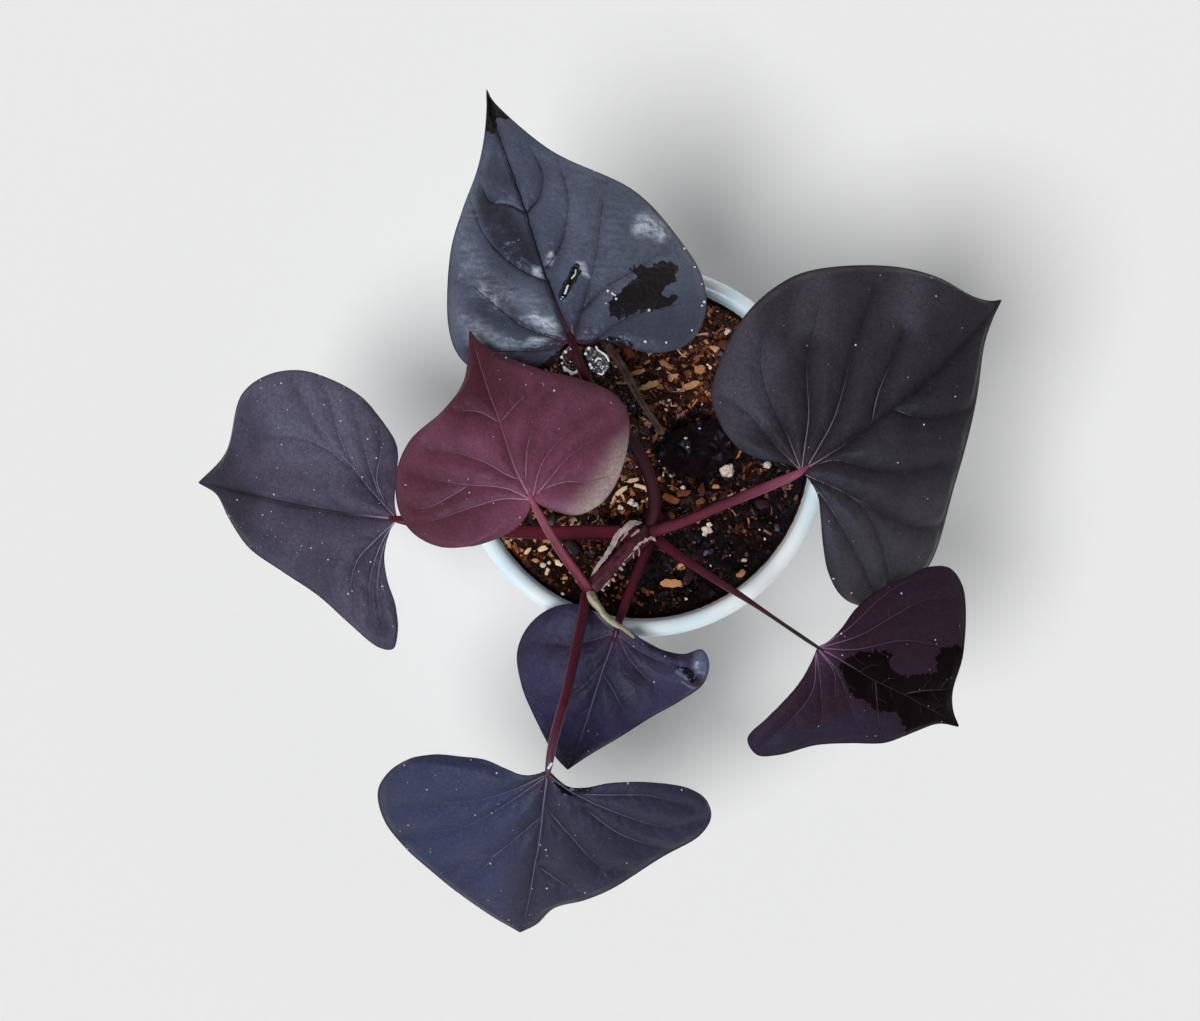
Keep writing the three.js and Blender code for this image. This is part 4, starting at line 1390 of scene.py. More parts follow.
    def grains(self) -> list[Object]:
        """Strewn bark chips, crumbs, fibres and perlite."""
        bark = Bark("pine_bark_flake")
        fine = Bark("pine_bark_crumb", shift=-0.08)
        split = Bark("dry_bark_splinter", shift=0.07)
        perlite = Mineral("expanded_perlite")
        kinds = (
            Strewing(
                "bark_chips", Grain.CHIP, bark, density=0.3, smallest=0.9, largest=3.6, seed=21, tilt=38,
                roughen=0.8, sink=0.05, wet_share=0.25,
            ),
            Strewing(
                "bark_slivers", Grain.SLIVER, split, density=0.2, smallest=1.0, largest=3.8, seed=25,
                tilt=26, roughen=0.5, sink=-0.05, wet_share=0.2,
            ),
            Strewing(
                "bark_crumbs", Grain.CRUMB, fine, density=0.7, smallest=0.5, largest=1.6, seed=22, tilt=60,
                roughen=0.4, wet_share=0.5,
            ),
            Strewing(
                "bark_fibres", Grain.FIBRE, split, density=0.03, smallest=2.0, largest=6.0, seed=23, tilt=30,
                roughen=0.3, wet_share=0.5,
            ),
            Strewing(
                "perlite", Grain.PERLITE, perlite, density=0.009, smallest=0.5, largest=1.6, seed=24,
                roughen=0.7, sink=-0.1,
            ),
        )
        return [kind.strew(self.host(kind), "potting_mix") for kind in kinds]


# ------------------------ leaf blades

# Farther than any point of a blade lies from its veins, in millimetres.
FAR = 50.0


@dataclass(frozen=True)
class Half:
    """One half of a blade in plan, in millimetres along and left of the midrib's first direction."""

    notch: Route
    margin: Route
    sag: float


@dataclass(frozen=True)
class Patch:
    """A place on a blade, bounded by points of its plan in millimetres."""

    outline: Route
    soft: float = 1.0  # how gradually it ends, in millimetres
    share: float = 1.0  # how strong it is

    def depth(self, plan: np.ndarray) -> np.ndarray:
        """How far inside the outline each point of a plan is, in millimetres. Outside is below 0."""
        flat = plan.reshape(-1, 2)
        corners = np.array(self.outline, float)
        gap, inside = np.full(len(flat), np.inf), np.zeros(len(flat), bool)
        for start, end in zip(corners, np.roll(corners, -1, axis=0)):
            run = end - start
            along = np.clip((flat - start) @ run / (run @ run), 0, 1)
            gap = np.minimum(gap, np.hypot(*(flat - start - along[:, None] * run).T))
            spans = (start[1] > flat[:, 1]) != (end[1] > flat[:, 1])
            rise = run[1] if run[1] else 1e-9
            inside ^= spans & (flat[:, 0] < start[0] + (flat[:, 1] - start[1]) * run[0] / rise)
        return np.where(inside, gap, -gap).reshape(plan.shape[:-1])


@dataclass(frozen=True)
class Tissue:
    """How veins shape the flesh of a blade and colour it: sizes in millimetres, and shares."""

    waning: float = 2.0  # how much farther off a vein counts as being at its far end
    groove_widths: Pair = (1.15, 0.5)  # share of it at the hub, and what is lost from there
    groove_loss: float = 0.7  # share of its depth that a groove loses on its way
    rib: Pair = (1.4, 0.8)  # depth and width of the rib below, over the groove's
    swell: Pair = (0.85, 4.2)  # how high the flesh lies, and how far from a vein
    pillow: tuple[float, float, float] = (0.12, 0.7, 1.5)  # a share, and the same two between veinlets
    bare_rim: float = 1.5  # from the margin to where grooves have their depth
    flat_rim: float = 4.0  # from the margin to where swells have their height
    cloud: float = 7
    crease: float = 2.8
    crumple: Pair = (0.5, 0.45)  # share of the clouds and of the creases
    film: Pair = (0.1, 0.4)  # thickness of a film of water, and width of its edge
    # Widths of the painted shade along the veins and in the hollows.
    valley: float = 0.6
    hollow: float = 1.8
    crest: Pair = (1.2, 6.0)  # how far from a vein the painted sheen starts and is full
    crest_clouds: Pair = (0.75, 0.6)
    hub: Pair = (0.8, 5.5)  # share and reach of the hub's colour
    rim: Pair = (0.6, 0.4)  # the same for the margin's
    root: float = 9.0  # how far from the hub a vein has the stalk's colour
    veinlet_gap: float = 4.4
    veinlet_length: float = 6.5
    veinlet_bend: Pair = (0.5, 0.3)  # sideways and ahead, over its length
    veinlet_end: Pair = (0.22, 0.45)  # the same from the bend on
    veinlet_reach: float = 2.4  # how far its groove is looked for
    veinlet_groove: Pair = (0.15, 0.5)  # share of a groove's depth, and its width
    cord_sides: int = 6
    cord_step: float = 0.55


@dataclass(frozen=True)
class Blade:
    """A heart-shaped blade: its outline and bend, its veins, and what lies on it."""

    name: str
    finish: BladeSkin
    vein_finish: VeinSkin
    hub: Point
    heading: float  # of its tip, in degrees from x
    midrib: Route  # in plan, as are the halves and the veins: along, and left of the heading
    left: Half
    right: Half
    reach: float  # how wide a half is taken to be, for the bend
    rise: float  # how far the tip would rise over the hub
    sag: float  # how far it droops from there
    back: float  # how far the lobes behind the hub droop
    fold: float  # how far the halves fold up from the midrib
    ripple: Pair  # of the margin: its height and how many waves it has
    veins: tuple[Route, ...]  # the midrib first
    swells: Route = ()  # as (along, left, radius, height)
    films: tuple[Patch, ...] = ()
    # Pale patches: mostly painted sheen and highlights; on the young blade a paler margin.
    pale: tuple[Patch, ...] = ()
    # Dark patches: partly painted shade, partly darker tone.
    dark: tuple[Patch, ...] = ()
    crumpled: tuple[Patch, ...] = ()  # where the flesh is crumpled most
    slot: str = "leaf_dark"
    quilt: float = 0.8  # how far the flesh swells up between the veins
    groove: float = 0.35  # how deep a vein is sunk in the upper face
    groove_widths: Pair = (0.9, 0.6)  # of the midrib's groove and of a side vein's
    groove_depths: Pair = (1.5, 1.0)  # of both, over the groove's depth
    valley: float = 0.3  # how far painted shade deepens the colour along the veins
    crest: float = 0.4  # how far painted sheen lightens the flesh between them
    hollow: float = 0.3  # how strong the painted shade is where the flesh dips towards a vein
    crumple: float = 0.12  # uneven swells of the flesh, in millimetres
    fades: Pair = (0.3, 0.9)  # shares of a side vein's length between which it fades out
    midrib_fades: Pair = (0.85, 1.3)
    quiet: tuple[int, ...] = ()  # numbers of the side veins that fade out close to the hub
    quiet_fades: Pair = (0.02, 0.35)
    faint: float = 0.8  # how close to the blade's tone the smallest veins are
    widths: Pair = (0.85, 0.5)  # of the midrib and of a side vein at the hub
    veinlet_width: float = 0.17
    tapers: tuple[float, ...] = (0.72, 0.72, 0.6)  # share of its width that each kind of vein loses
    rooted: float = 3.0  # a side vein that starts farther than this from the hub comes up out of the flesh
    specks: float = 0.02
    grid_step: Pair = (0.38, 0.52)
    thickness: float = 0.42
    tissue: Tissue = Tissue()

    @cached_property
    def rows(self) -> int:
        """Rows of the grid from the notch to the tip, an even number."""
        return 2 * round(self.midrib[-1][0] / self.grid_step[0] / 2)

    @cached_property
    def columns(self) -> int:
        """Columns of the grid in each half, an even number."""
        widest = max(abs(point[1]) for half in (self.left, self.right) for point in half.margin)
        return 2 * round(widest / self.grid_step[1] / 2)

    @cached_property
    def plan(self) -> np.ndarray:
        """The blade's plan as a grid from notch to tip and from the right margin to the left.

        Returns:
            An array of rows + 1 by 2 columns + 1 points in two dimensions. The last row is the tip.
        """
        s = np.linspace(0, 1, self.rows + 1)
        t = np.linspace(0, 1, self.columns + 1)
        spine = Spline(((0, 0), *self.midrib)).at(s)[:, None, :2]
        grids = []
        for half in (self.right, self.left):
            whole = Spline(((0, 0), *half.notch, *half.margin, self.midrib[-1]))
            corner = whole.shares[(len(half.notch) + 1) * Spline.SAMPLES]
            notch = whole.at(corner * t)[None, :, :2]
            margin = whole.at(corner + (1 - corner) * s)[:, None, :2]
            lobe = whole.at(corner)[0, :2]
            across, back = t[None, :, None], 1 - s[:, None, None]
            grids.append((1 - across) * spine + across * margin + back * notch - back * across * lobe)
        return np.concatenate([grids[0][:, :0:-1], grids[1]], axis=1)

    def lift(self, plan: np.ndarray) -> np.ndarray:
        """The height of the bent blade over a plan, ripple included."""
        forward = plan[..., 0] / self.midrib[-1][0]
        across = plan[..., 1] / self.reach
        height = self.hub[2] + self.rise * forward - np.where(forward > 0, self.sag, self.back) * forward**2
        droop = np.where(across > 0, self.left.sag, self.right.sag)
        height += self.fold * np.abs(across) - droop * across**2
        for a, b, radius, swell in self.swells:
            height += swell * np.exp(-((plan[..., 0] - a) ** 2 + (plan[..., 1] - b) ** 2) / radius**2)
        s = np.linspace(0, 1, plan.shape[0])[:, None]
        t = np.abs(np.linspace(-1, 1, plan.shape[1]))[None, :]
        return height + self.ripple[0] * t**2 * np.sin(2 * math.pi * self.ripple[1] * s)

    @cached_property
    def veinlets(self) -> list[Route]:
        """Short side veins that leave each vein in turn to the left and right, and bow towards its tip."""
        tissue = self.tissue
        aside, along = tissue.veinlet_bend
        aside_end, along_end = tissue.veinlet_end
        found = []
        for number, route in enumerate(self.veins):
            vein = Spline(route)
            count = int(vein.length / tissue.veinlet_gap)
            for k in range(1, count + 1):
                # Sines of the numbers make the gaps and the lengths uneven.
                share = (k + 0.3 * math.sin(5 * k + number)) / (count + 0.6)
                start, ahead = vein.at(share)[0, :2], vein.at(min(1.0, share + 0.03))[0, :2]
                way = (ahead - start) / max(1e-6, float(np.linalg.norm(ahead - start)))
                side = np.array([-way[1], way[0]]) * (1 if k % 2 else -1)
                uneven = 1 + 0.25 * math.sin(7 * k + 2 * number)
                size = tissue.veinlet_length * (1 - 0.5 * share) * uneven
                bend = start + size * (aside * side + along * way)
                end = bend + size * (aside_end * side + along_end * way)
                found.append((tuple(start), tuple(bend), tuple(end)))
        return found

    def relief(self, plan: np.ndarray) -> tuple[dict[str, np.ndarray], np.ndarray, np.ndarray]:
        """What the finish reads at each point, and how far the two faces stand out.

        Args:
            plan: A grid of points of the plan.

        Returns:
            The attributes, the upper face's relief and the lower face's, in millimetres.
        """
        tissue = self.tissue
        flat = plan.reshape(-1, 2)
        nearest = np.full(len(flat), FAR)
        groove, rib = np.zeros(len(flat)), np.zeros(len(flat))
        for k, route in enumerate(self.veins):
            gap, share = Spline(route).distance(flat, 1.0)
            nearest = np.minimum(nearest, gap + tissue.waning * share)
            rank = min(k, 1)
            width = self.groove_widths[rank] * (tissue.groove_widths[0] - tissue.groove_widths[1] * share)
            depth = self.groove * self.groove_depths[rank] * (1 - tissue.groove_loss * share)
            groove = np.maximum(groove, depth * bell(gap, width))
            rib = np.maximum(rib, tissue.rib[0] * depth * bell(gap, tissue.rib[1] * width))
        fine = nearest.copy()
        part, width = tissue.veinlet_groove
        for route in self.veinlets:
            gap, share = Spline(route).distance(flat, tissue.veinlet_reach)
            fine = np.minimum(fine, gap + share)
            groove = np.maximum(groove, part * self.groove * (1 - share) * bell(gap, width))
        bounds = (plan[:, :1], plan[:, -1:], plan[:1])
        edge = np.min([np.linalg.norm(plan - bound, axis=2) for bound in bounds], axis=0).reshape(-1)
        inner = smoothstep(0, tissue.flat_rim, edge)
        level, reach = tissue.swell
        swell = self.quilt * (level - bell(nearest, reach))
        part, level, reach = tissue.pillow
        quilt = inner * (swell + part * self.quilt * (level - bell(fine, reach)))
        taper = smoothstep(0, tissue.bare_rim, edge)
        wet = np.full(len(flat), -FAR)
        for patch in self.films:
            wet = np.maximum(wet, patch.depth(plan).reshape(-1))
        rough = clouds(flat, tissue.cloud, 3)
        creases = np.abs(clouds(flat + 50, tissue.crease))
        crumpled = self.shares(self.crumpled, plan)
        crushed = tissue.crumple[0] * rough + tissue.crumple[1] * creases
        quilt += inner * (self.crumple * rough + crumpled * crushed)
        away = np.hypot(*flat.T)
        uneven = np.clip(tissue.crest_clouds[0] + tissue.crest_clouds[1] * rough, 0, 1)
        # Painted shade where the flesh dips towards a vein.
        hollow = self.hollow * bell(nearest, tissue.hollow)
        marks = {
            # Painted shade along the veins and in the hollows, and painted sheen on the swells.
            "valley": self.valley * bell(nearest, tissue.valley),
            "hub": tissue.hub[0] * bell(away, tissue.hub[1]),
            "far": np.clip(away / max(self.midrib[-1][0], self.reach), 0, 1),
            "wet": wet,
            "rim": tissue.rim[0] * bell(edge, tissue.rim[1]),
            "pale": self.shares(self.pale, plan),
            "crest": self.crest * inner * smoothstep(*tissue.crest, nearest) * uneven,
            "shade": np.maximum(self.shares(self.dark, plan), hollow),
        }
        film, shore = tissue.film
        above = quilt - taper * groove + film * smoothstep(-shore, shore, wet)
        return (
            {name: values.reshape(plan.shape[:2]) for name, values in marks.items()},
            above.reshape(plan.shape[:2]),
            (quilt - taper * rib).reshape(plan.shape[:2]),
        )

    @staticmethod
    def shares(patches: tuple[Patch, ...], plan: np.ndarray) -> np.ndarray:
        """How strongly some patches lie over each point of a plan, as one flat row."""
        found = np.zeros(plan.shape[0] * plan.shape[1])
        for patch in patches:
            depth = patch.depth(plan).reshape(-1)
            found = np.maximum(found, patch.share * smoothstep(-patch.soft, patch.soft, depth))
        return found

    def turned(self, plan: np.ndarray) -> np.ndarray:
        """Turns plan points to x and y of the part's frame."""
        turn = math.radians(self.heading)
        x = self.hub[0] + plan[..., 0] * math.cos(turn) - plan[..., 1] * math.sin(turn)
        y = self.hub[1] + plan[..., 0] * math.sin(turn) + plan[..., 1] * math.cos(turn)
        return np.stack([x, y], axis=-1)

    @staticmethod
    def normals(grid: np.ndarray) -> np.ndarray:
        """Upward unit normals of a grid of points. The tip's row takes its neighbour's."""
        normal = np.cross(np.gradient(grid, axis=0), np.gradient(grid, axis=1))
        length = np.linalg.norm(normal, axis=2, keepdims=True)
        normal = np.where(length > 1e-9, normal / np.maximum(length, 1e-9), (0, 0, 1))
        normal[-1] = normal[-2].mean(axis=0) / np.linalg.norm(normal[-2].mean(axis=0))
        return normal

    @staticmethod
    def faces(rows: int, width: int, first: int = 0) -> Faces:
        """Faces of a grid whose last row is one point.

        Args:
            rows: Rows below the tip.
            width: Points in a row.
            first: Number of the grid's first vertex.

        Returns:
            The faces, looking up.
        """
        tip = first + rows * width
        made: Faces = []
        for i in range(rows - 1):
            low = first + i * width
            made += [(low + j, low + width + j, low + width + j + 1, low + j + 1) for j in range(width - 1)]
        low = first + (rows - 1) * width
        return made + [(low + j, tip, low + j + 1) for j in range(width - 1)]

    @staticmethod
    def ring(rows: int, width: int, first: int = 0) -> list[int]:
        """Vertex numbers round a grid whose last row is one point: down the right, up the left and back."""
        right = [first + i * width for i in range(rows)]
        left = [first + i * width + width - 1 for i in range(rows - 1, -1, -1)]
        return [*right, first + rows * width, *left, *(first + j for j in range(width - 2, 0, -1))]

    @staticmethod
    def packed(grid: np.ndarray) -> np.ndarray:
        """A grid's values row by row, with the tip's row as one."""
        return np.concatenate([grid[:-1].reshape(-1, *grid.shape[2:]), grid[-1, :1]])

    @cached_property
    def skins(self) -> tuple[np.ndarray, np.ndarray, dict[str, np.ndarray]]:
        """The upper face, the lower face and the attributes, as grids."""
        marks, above, below = self.relief(self.plan)
        middle = np.concatenate([self.turned(self.plan), self.lift(self.plan)[..., None]], axis=-1)
        normal = self.normals(middle)
        t = np.abs(np.linspace(-1, 1, self.plan.shape[1]))[None, :, None]
        half = self.thickness / 2 * (1 - 0.5 * smoothstep(0.94, 1.0, t))
        upper = middle + normal * (half + above[..., None])
        return upper, middle + normal * (below[..., None] - half), marks

    @cached_property
    def upper(self) -> BVHTree:
        """The upper face, ready to be met by rays."""
        points = self.packed(self.skins[0])
        return BVHTree.FromPolygons(points.tolist(), self.faces(self.rows, self.plan.shape[1]))

    def on_top(self, plan: np.ndarray) -> list[tuple[np.ndarray, np.ndarray]]:
        """Finds places on the upper face.

        Args:
            plan: Points of the plan, one a row.

        Returns:
            The point and the normal for each place that is on the blade.
        """
        found = []
        for x, y in self.turned(plan):
            spot, normal, _, _ = self.upper.ray_cast(Vector((x, y, self.hub[2] + 60)), Vector((0, 0, -1)))
            if spot is not None:
                found.append((np.array(spot), np.array(normal) * (1 if normal.z > 0 else -1)))
        return found

    def build(self) -> list[Object]:
        """Makes the blade and its veins.

        Returns:
            The two pieces.
        """
        upper, lower, marks = self.skins
        lower = lower[::2, ::2]
        rows, width = self.rows, self.plan.shape[1]
        low_rows, low_width = rows // 2, lower.shape[1]
        first = rows * width + 1
        faces = self.faces(rows, width) + [face[::-1] for face in self.faces(low_rows, low_width, first)]
        loop, ring = self.ring(rows, width), self.ring(low_rows, low_width, first)
        for k, corner in enumerate(ring):
            following = ring[(k + 1) % len(ring)]
            a, b, c = (loop[(2 * k + step) % len(loop)] for step in range(3))
            faces += [(corner, b, a), (corner, following, b), (following, c, b)]
        values = {
            name: np.concatenate([self.packed(grid), self.packed(grid[::2, ::2])])
            for name, grid in marks.items()
        }
        vertices = np.concatenate([self.packed(upper), self.packed(lower)])
        piece = new_mesh("blade_" + self.name, vertices, faces, values, 70)
        return [place(piece, self.slot, "leaf_" + self.name, finish=self.finish), self.cords()]

    def cords(self) -> Object:
        """The veins, as thin cords that lie in the grooves of the upper face and sink in at their ends."""
        around = self.tissue.cord_sides
        lists = []
        for k, route in enumerate(self.veins):
            lists.append((route, min(k, 1), self.quiet_fades if k in self.quiet else self.fades))
        lists += [(route, 2, self.fades) for route in self.veinlets]
        heap = Heap()
        turn = (np.arange(around) + 0.5) * 2 * math.pi / around
        for route, rank, (low, top) in lists:
            curve = Spline(route)
            shares = np.linspace(0, 1, max(6, round(curve.length / self.tissue.cord_step)))
            spots = self.on_top(curve.at(shares)[:, :2])
            if len(spots) < 4:
                continue
            points, normals = (np.array(part) for part in zip(*spots))
            ahead = np.gradient(points, axis=0)
            ahead /= np.maximum(np.linalg.norm(ahead, axis=1, keepdims=True), 1e-9)
            across = np.cross(normals, ahead)
            share = np.linspace(0, 1, len(points))
            width = (*self.widths, self.veinlet_width)[rank] * (1 - self.tapers[rank] * share) / 2
            height = 0.5 * width * (1 - smoothstep(0.9, 1.0, share))
            sink = 0.35 * height + 0.1 * smoothstep(0.85, 1.0, share)
            wide = (width[:, None] * np.cos(turn))[..., None] * across[:, None]
            high = (height[:, None] * np.sin(turn) - sink[:, None])[..., None] * normals[:, None]
            away = np.hypot(*(points[:, :2] - self.hub[:2]).T)
            if rank == 0:
                low, top = self.midrib_fades
            fade = smoothstep(low, top, share) if rank < 2 else self.faint + (1 - self.faint) * share
            if rank == 1 and away[0] > self.rooted:
                fade = np.maximum(fade, 1 - smoothstep(0, 0.15, share))
            root = np.repeat(bell(away, self.tissue.root), around)
            cord = (points[:, None] + wide + high).reshape(-1, 3)
            faces = tube(len(points) - 1, around)
            heap.add(cord, faces, main=float(rank == 0), root=root, fade=np.repeat(fade, around))
        return place(heap.mesh("veins_" + self.name, 180), self.slot, finish=self.vein_finish)

    def face(self, step: int = 4) -> tuple[np.ndarray, Faces]:
        """The upper face with fewer points, for what is strewn on it.

        Args:
            step: About every how many points one is kept.

        Returns:
            Vertices and faces.
        """
        width = self.plan.shape[1]
        rows = np.unique(np.linspace(0, self.rows, self.rows // step + 1).round().astype(int))
        columns = np.unique(np.linspace(0, width - 1, width // step).round().astype(int))
        grid = self.skins[0][np.ix_(rows, columns)]
        return self.packed(grid), self.faces(len(rows) - 1, len(columns))


# In every blade skin the crest colour is painted sheen and the shade colour painted shade; the patch colour
# is mostly painted sheen and highlights. On the small and the front blade the film colour paints shade in a
# crease and a fold.
SLATE = BladeSkin(
    "wet_slate_blade", tone="#3e4353", far_tone="#4c5368", deep="#15141a", hub="#3a2834", film="#140d11",
    patch="#aab3c2", crest="#4f566a", shade="#201d27", roughness=0.42, specular=0.4, wax=0.14,
    wax_roughness=0.3, net=0.1, mottle=0.5, fleck=4.5, wrinkle=0.7, wrinkle_way=-0.5, wrinkle_length=4.5,
    film_roughness=0.35,
)
CHARCOAL = BladeSkin(
    "charcoal_blade", tone="#272229", far_tone="#28242b", deep="#131116", hub="#3d3038", patch="#4a4753",
    crest="#343038", shade="#171518", roughness=0.6, wax=0.03, mottle=0.6, wrinkle=0.5,
)
PLUM_GREY = BladeSkin(
    "plum_grey_blade", tone="#494153", far_tone="#383546", deep="#1f1a25", hub="#5a4a5c", patch="#5f5d72",
    crest="#524e62", shade="#2a262f", roughness=0.58, wax=0.05, mottle=0.8, wrinkle=0.5,
)
MAROON = BladeSkin(
    "young_maroon_blade", tone="#67384c", far_tone="#4b2632", deep="#36161f", hub="#7d485f", patch="#a08e8c",
    crest="#7a475f", shade="#411b25", roughness=0.58, wax=0.06, net=0.1, fleck=0.7,
)
INK = BladeSkin(
    "small_ink_blade", tone="#2b2034", far_tone="#363354", deep="#17141f", hub="#3f2c40", film="#0a090f",
    patch="#93a1bb", crest="#302a42", shade="#110e17", roughness=0.55, wax=0.08, mottle=0.5, wrinkle=0.5,
    fray=0.7,
)
INDIGO = BladeSkin(
    "front_indigo_blade", tone="#2d2b3f", far_tone="#29273a", deep="#191621", hub="#3a2838", film="#08070b",
    patch="#333b5c", crest="#36354c", shade="#1b1823", roughness=0.56, wax=0.05, mottle=0.5, wrinkle=0.5,
    fray=0.7,
)
AUBERGINE = BladeSkin(
    "wet_aubergine_blade", tone="#2f1f2b", far_tone="#2a1e2b", deep="#150d13", hub="#5a3c55", film="#0e0507",
    patch="#2b2b3e", crest="#2d1f2d", shade="#1a1118", roughness=0.55, specular=0.05, wax=0.03, net=0.15,
    film_roughness=0.5,
)
SLATE_VEIN = VeinSkin("slate_blade_vein", tone="#3e4353", midrib="#0b090e", side="#15141a", root="#47202e")
CHARCOAL_VEIN = VeinSkin(
    "charcoal_blade_vein", tone="#262328", midrib="#151317", side="#6b646c", root="#86788a",
)
PLUM_VEIN = VeinSkin(
    "plum_grey_blade_vein", tone="#484356", midrib="#1b151f", side="#7f758f", root="#9384a0",
)
MAROON_VEIN = VeinSkin("maroon_blade_vein", tone="#5e3446", midrib="#75455a", side="#80566a", root="#a5768c")
INK_VEIN = VeinSkin("ink_blade_vein", tone="#292236", midrib="#5a5370", side="#46415e", root="#5b4763")
INDIGO_VEIN = VeinSkin("indigo_blade_vein", tone="#2d2b3f", midrib="#5a5870", side="#5f5d7a", root="#6d6680")
AUBERGINE_VEIN = VeinSkin(
    "aubergine_blade_vein", tone="#2c1e29", midrib="#26151f", side="#4d364c", root="#7d6488",
)

BACK_BLADE = Blade(
    "back", SLATE, SLATE_VEIN, hub=(-20.5, 29.5, 131), heading=109,
    midrib=((13, 1), (35.5, 0.5), (52.5, 1), (77.5, -0.5)),
    left=Half(
        ((-0.5, 3), (-4.5, 7), (-4, 14)),
        (
            (-1, 22), (3, 29.5), (8.5, 32), (17.5, 31.5), (35, 24.5), (46, 17), (55.5, 9.5), (63, 5),
            (71, 1.5),
        ),
        sag=13,
    ),
    right=Half(
        ((-2.5, -4), (-3, -8), (-6, -13), (-10.5, -21)),
        ((-11, -30), (-8, -35.5), (-1.5, -40), (8, -41.5), (21, -38), (35, -31), (54.5, -11.5), (73.5, -1)),
        sag=13,
    ),
    reach=37, rise=2, sag=14, back=4, fold=3, ripple=(1.1, 2.5),
    veins=(
        ((0, 0), (18, 1), (39, 0.5), (56.5, 0.5), (68, 0.5), (77, -0.5)),
        ((0, 1), (7, 10.5), (15.5, 16.5), (27.5, 23)),
        ((18, 1), (23, 6.5), (30.5, 11.5), (38.5, 14), (48, 14)),
        ((39, 1), (42.5, 4.5), (45, 9), (52, 10)),
        ((0, 0), (9, -6.5), (19.5, -13.5), (31.5, -19.5), (40, -24)),
        ((22, 0), (26.5, -5.5), (32.5, -9.5), (40.5, -12.5), (52, -13)),
        ((38.5, 0.5), (42, -4.5), (47.5, -7.5), (56, -7)),
        ((-1, -1.5), (-1.5, -6.5), (1, -15), (1.5, -23.5), (0, -36)),
        ((7, -5), (11.5, -14.5), (13.5, -23), (17, -34)),
        ((0, 1), (0.5, 9.5), (4, 20), (7, 28)),
    ),
    films=(
        Patch((
            (3.9, -12), (6.5, -13), (9.9, -19.5), (11.4, -23.2), (14.2, -22), (14.3, -25), (13, -28),
            (14.3, -31), (11, -35), (8.8, -33), (6.5, -32.5), (6.5, -29.5), (4.5, -27.5), (2.6, -32.4),
            (0.8, -30.6), (1.9, -21), (1.5, -14.2),
        )),
        Patch(((19, -7.5), (18, -8.8), (15.5, -6.5), (12.3, -2.8), (12.7, -0.6), (14.6, -1.4), (17.5, -5))),
        Patch(((80, 3), (66, 5), (63.5, 1.5), (67.5, -0.5), (66.5, -4), (80, -4))),
        Patch(((-3, 1), (-1, 2.5), (-2, 7), (-4.5, 14), (-6, 13), (-6, 5))),
        Patch(((-2, -2.5), (-1.2, -5), (-3, -12), (-6, -16), (-9, -14), (-5, -4))),
    ),
    # Painted highlights and sheen on the swells and round the drops.
    pale=(
        Patch((
            (19.5, -33), (21, -35.5), (24.5, -35), (28, -31.5), (27.5, -28), (24.5, -26), (22.5, -26.5),
            (22, -29.5),
        ), 2.2, 0.68),
        Patch(((20.5, -32.5), (21, -35), (22.5, -34.5), (22.5, -32.8)), 0.6, 1.0),
        Patch(((25.8, -2.8), (25, -1.2), (22.6, -0.4), (22.2, -1.4), (24, -3.2)), 0.5, 0.9),
        Patch(((22.5, 1.6), (23.5, 3.5), (20.5, 4.5), (19.5, 2)), 0.8, 0.7),
        Patch(((17, -8), (20.5, -8.2), (19.8, -10.3), (15, -10.8)), 0.7, 0.6),
        Patch(((4.5, 2.2), (8, 3.2), (11, 7), (10.5, 10), (7, 7.5), (3.6, 4.2)), 1.6, 0.75),
        Patch(((2.6, 5), (3.6, 6.5), (4.6, 11), (3.4, 13.5), (2.4, 9)), 1.0, 0.6),
        Patch(((16, 17), (22, 20.5), (24, 18.5), (18.5, 15.5)), 1.2, 0.45),
        Patch(((3, 15), (12, 21), (18, 27), (10, 27), (3, 21)), 3.0, 0.3),
        Patch(((12, 15), (22, 22), (36, 23), (50, 16), (54, 10), (40, 15), (28, 15), (18, 11)), 3.0, 0.1),
        Patch(((5, 3), (8, 10), (14, 13), (22, 14), (18, 6), (12, 2)), 2.0, 0.12),
        Patch(((8, -12), (4, -28), (8, -38), (18, -38), (40, -26), (52, -10), (24, -6)), 3.0, 0.05),
    ),
    # Partly painted shade on the swells beside the midrib, partly darker tone.
    dark=(
        Patch(((20, 1.5), (26, 9), (32, 12), (44, 14), (50, 11), (42, 4), (28, 1.2)), 2.2, 0.85),
        Patch(((8, 22), (18, 24), (27, 20), (30, 14), (20, 12), (9, 15)), 4.0, 0.5),
        Patch(((2, 4), (9, 14), (20, 20), (24, 20), (14, 10), (4, 2)), 1.6, 0.5),
        Patch(((42, 4), (47, 9), (54, 9), (58, 3), (50, 1)), 2.0, 0.4),
        Patch(((-5, 6), (2, 10), (7, 24), (9, 31), (0, 30), (-5, 16)), 2.5, 0.62),
        Patch(((-10, -8), (-12, -28), (-9, -36), (-1, -38), (2, -26), (1, -8)), 4.0, 0.4),
        Patch(((58, 3), (66, 5), (72, 1), (66, -5), (56, -10), (54, -3)), 4.0, 0.3),
        Patch(((30, -34), (36, -30), (44, -22), (40, -18), (32, -26)), 3.0, 0.2),
    ),
    crumpled=(
        Patch(((-1, 16), (4, 24), (12, 27), (16, 33), (4, 33), (-4, 24)), 3.0, 1.0),
        Patch(((4, 2), (14, 10), (30, 20), (50, 12), (60, 2), (30, 1)), 3.0, 0.35),
    ),
    quilt=1.3, groove=0.7, valley=0.9, hollow=0.3, crumple=0.35, fades=(0.75, 1.3), widths=(1.3, 0.55),
    rooted=99, specks=0.004,
)
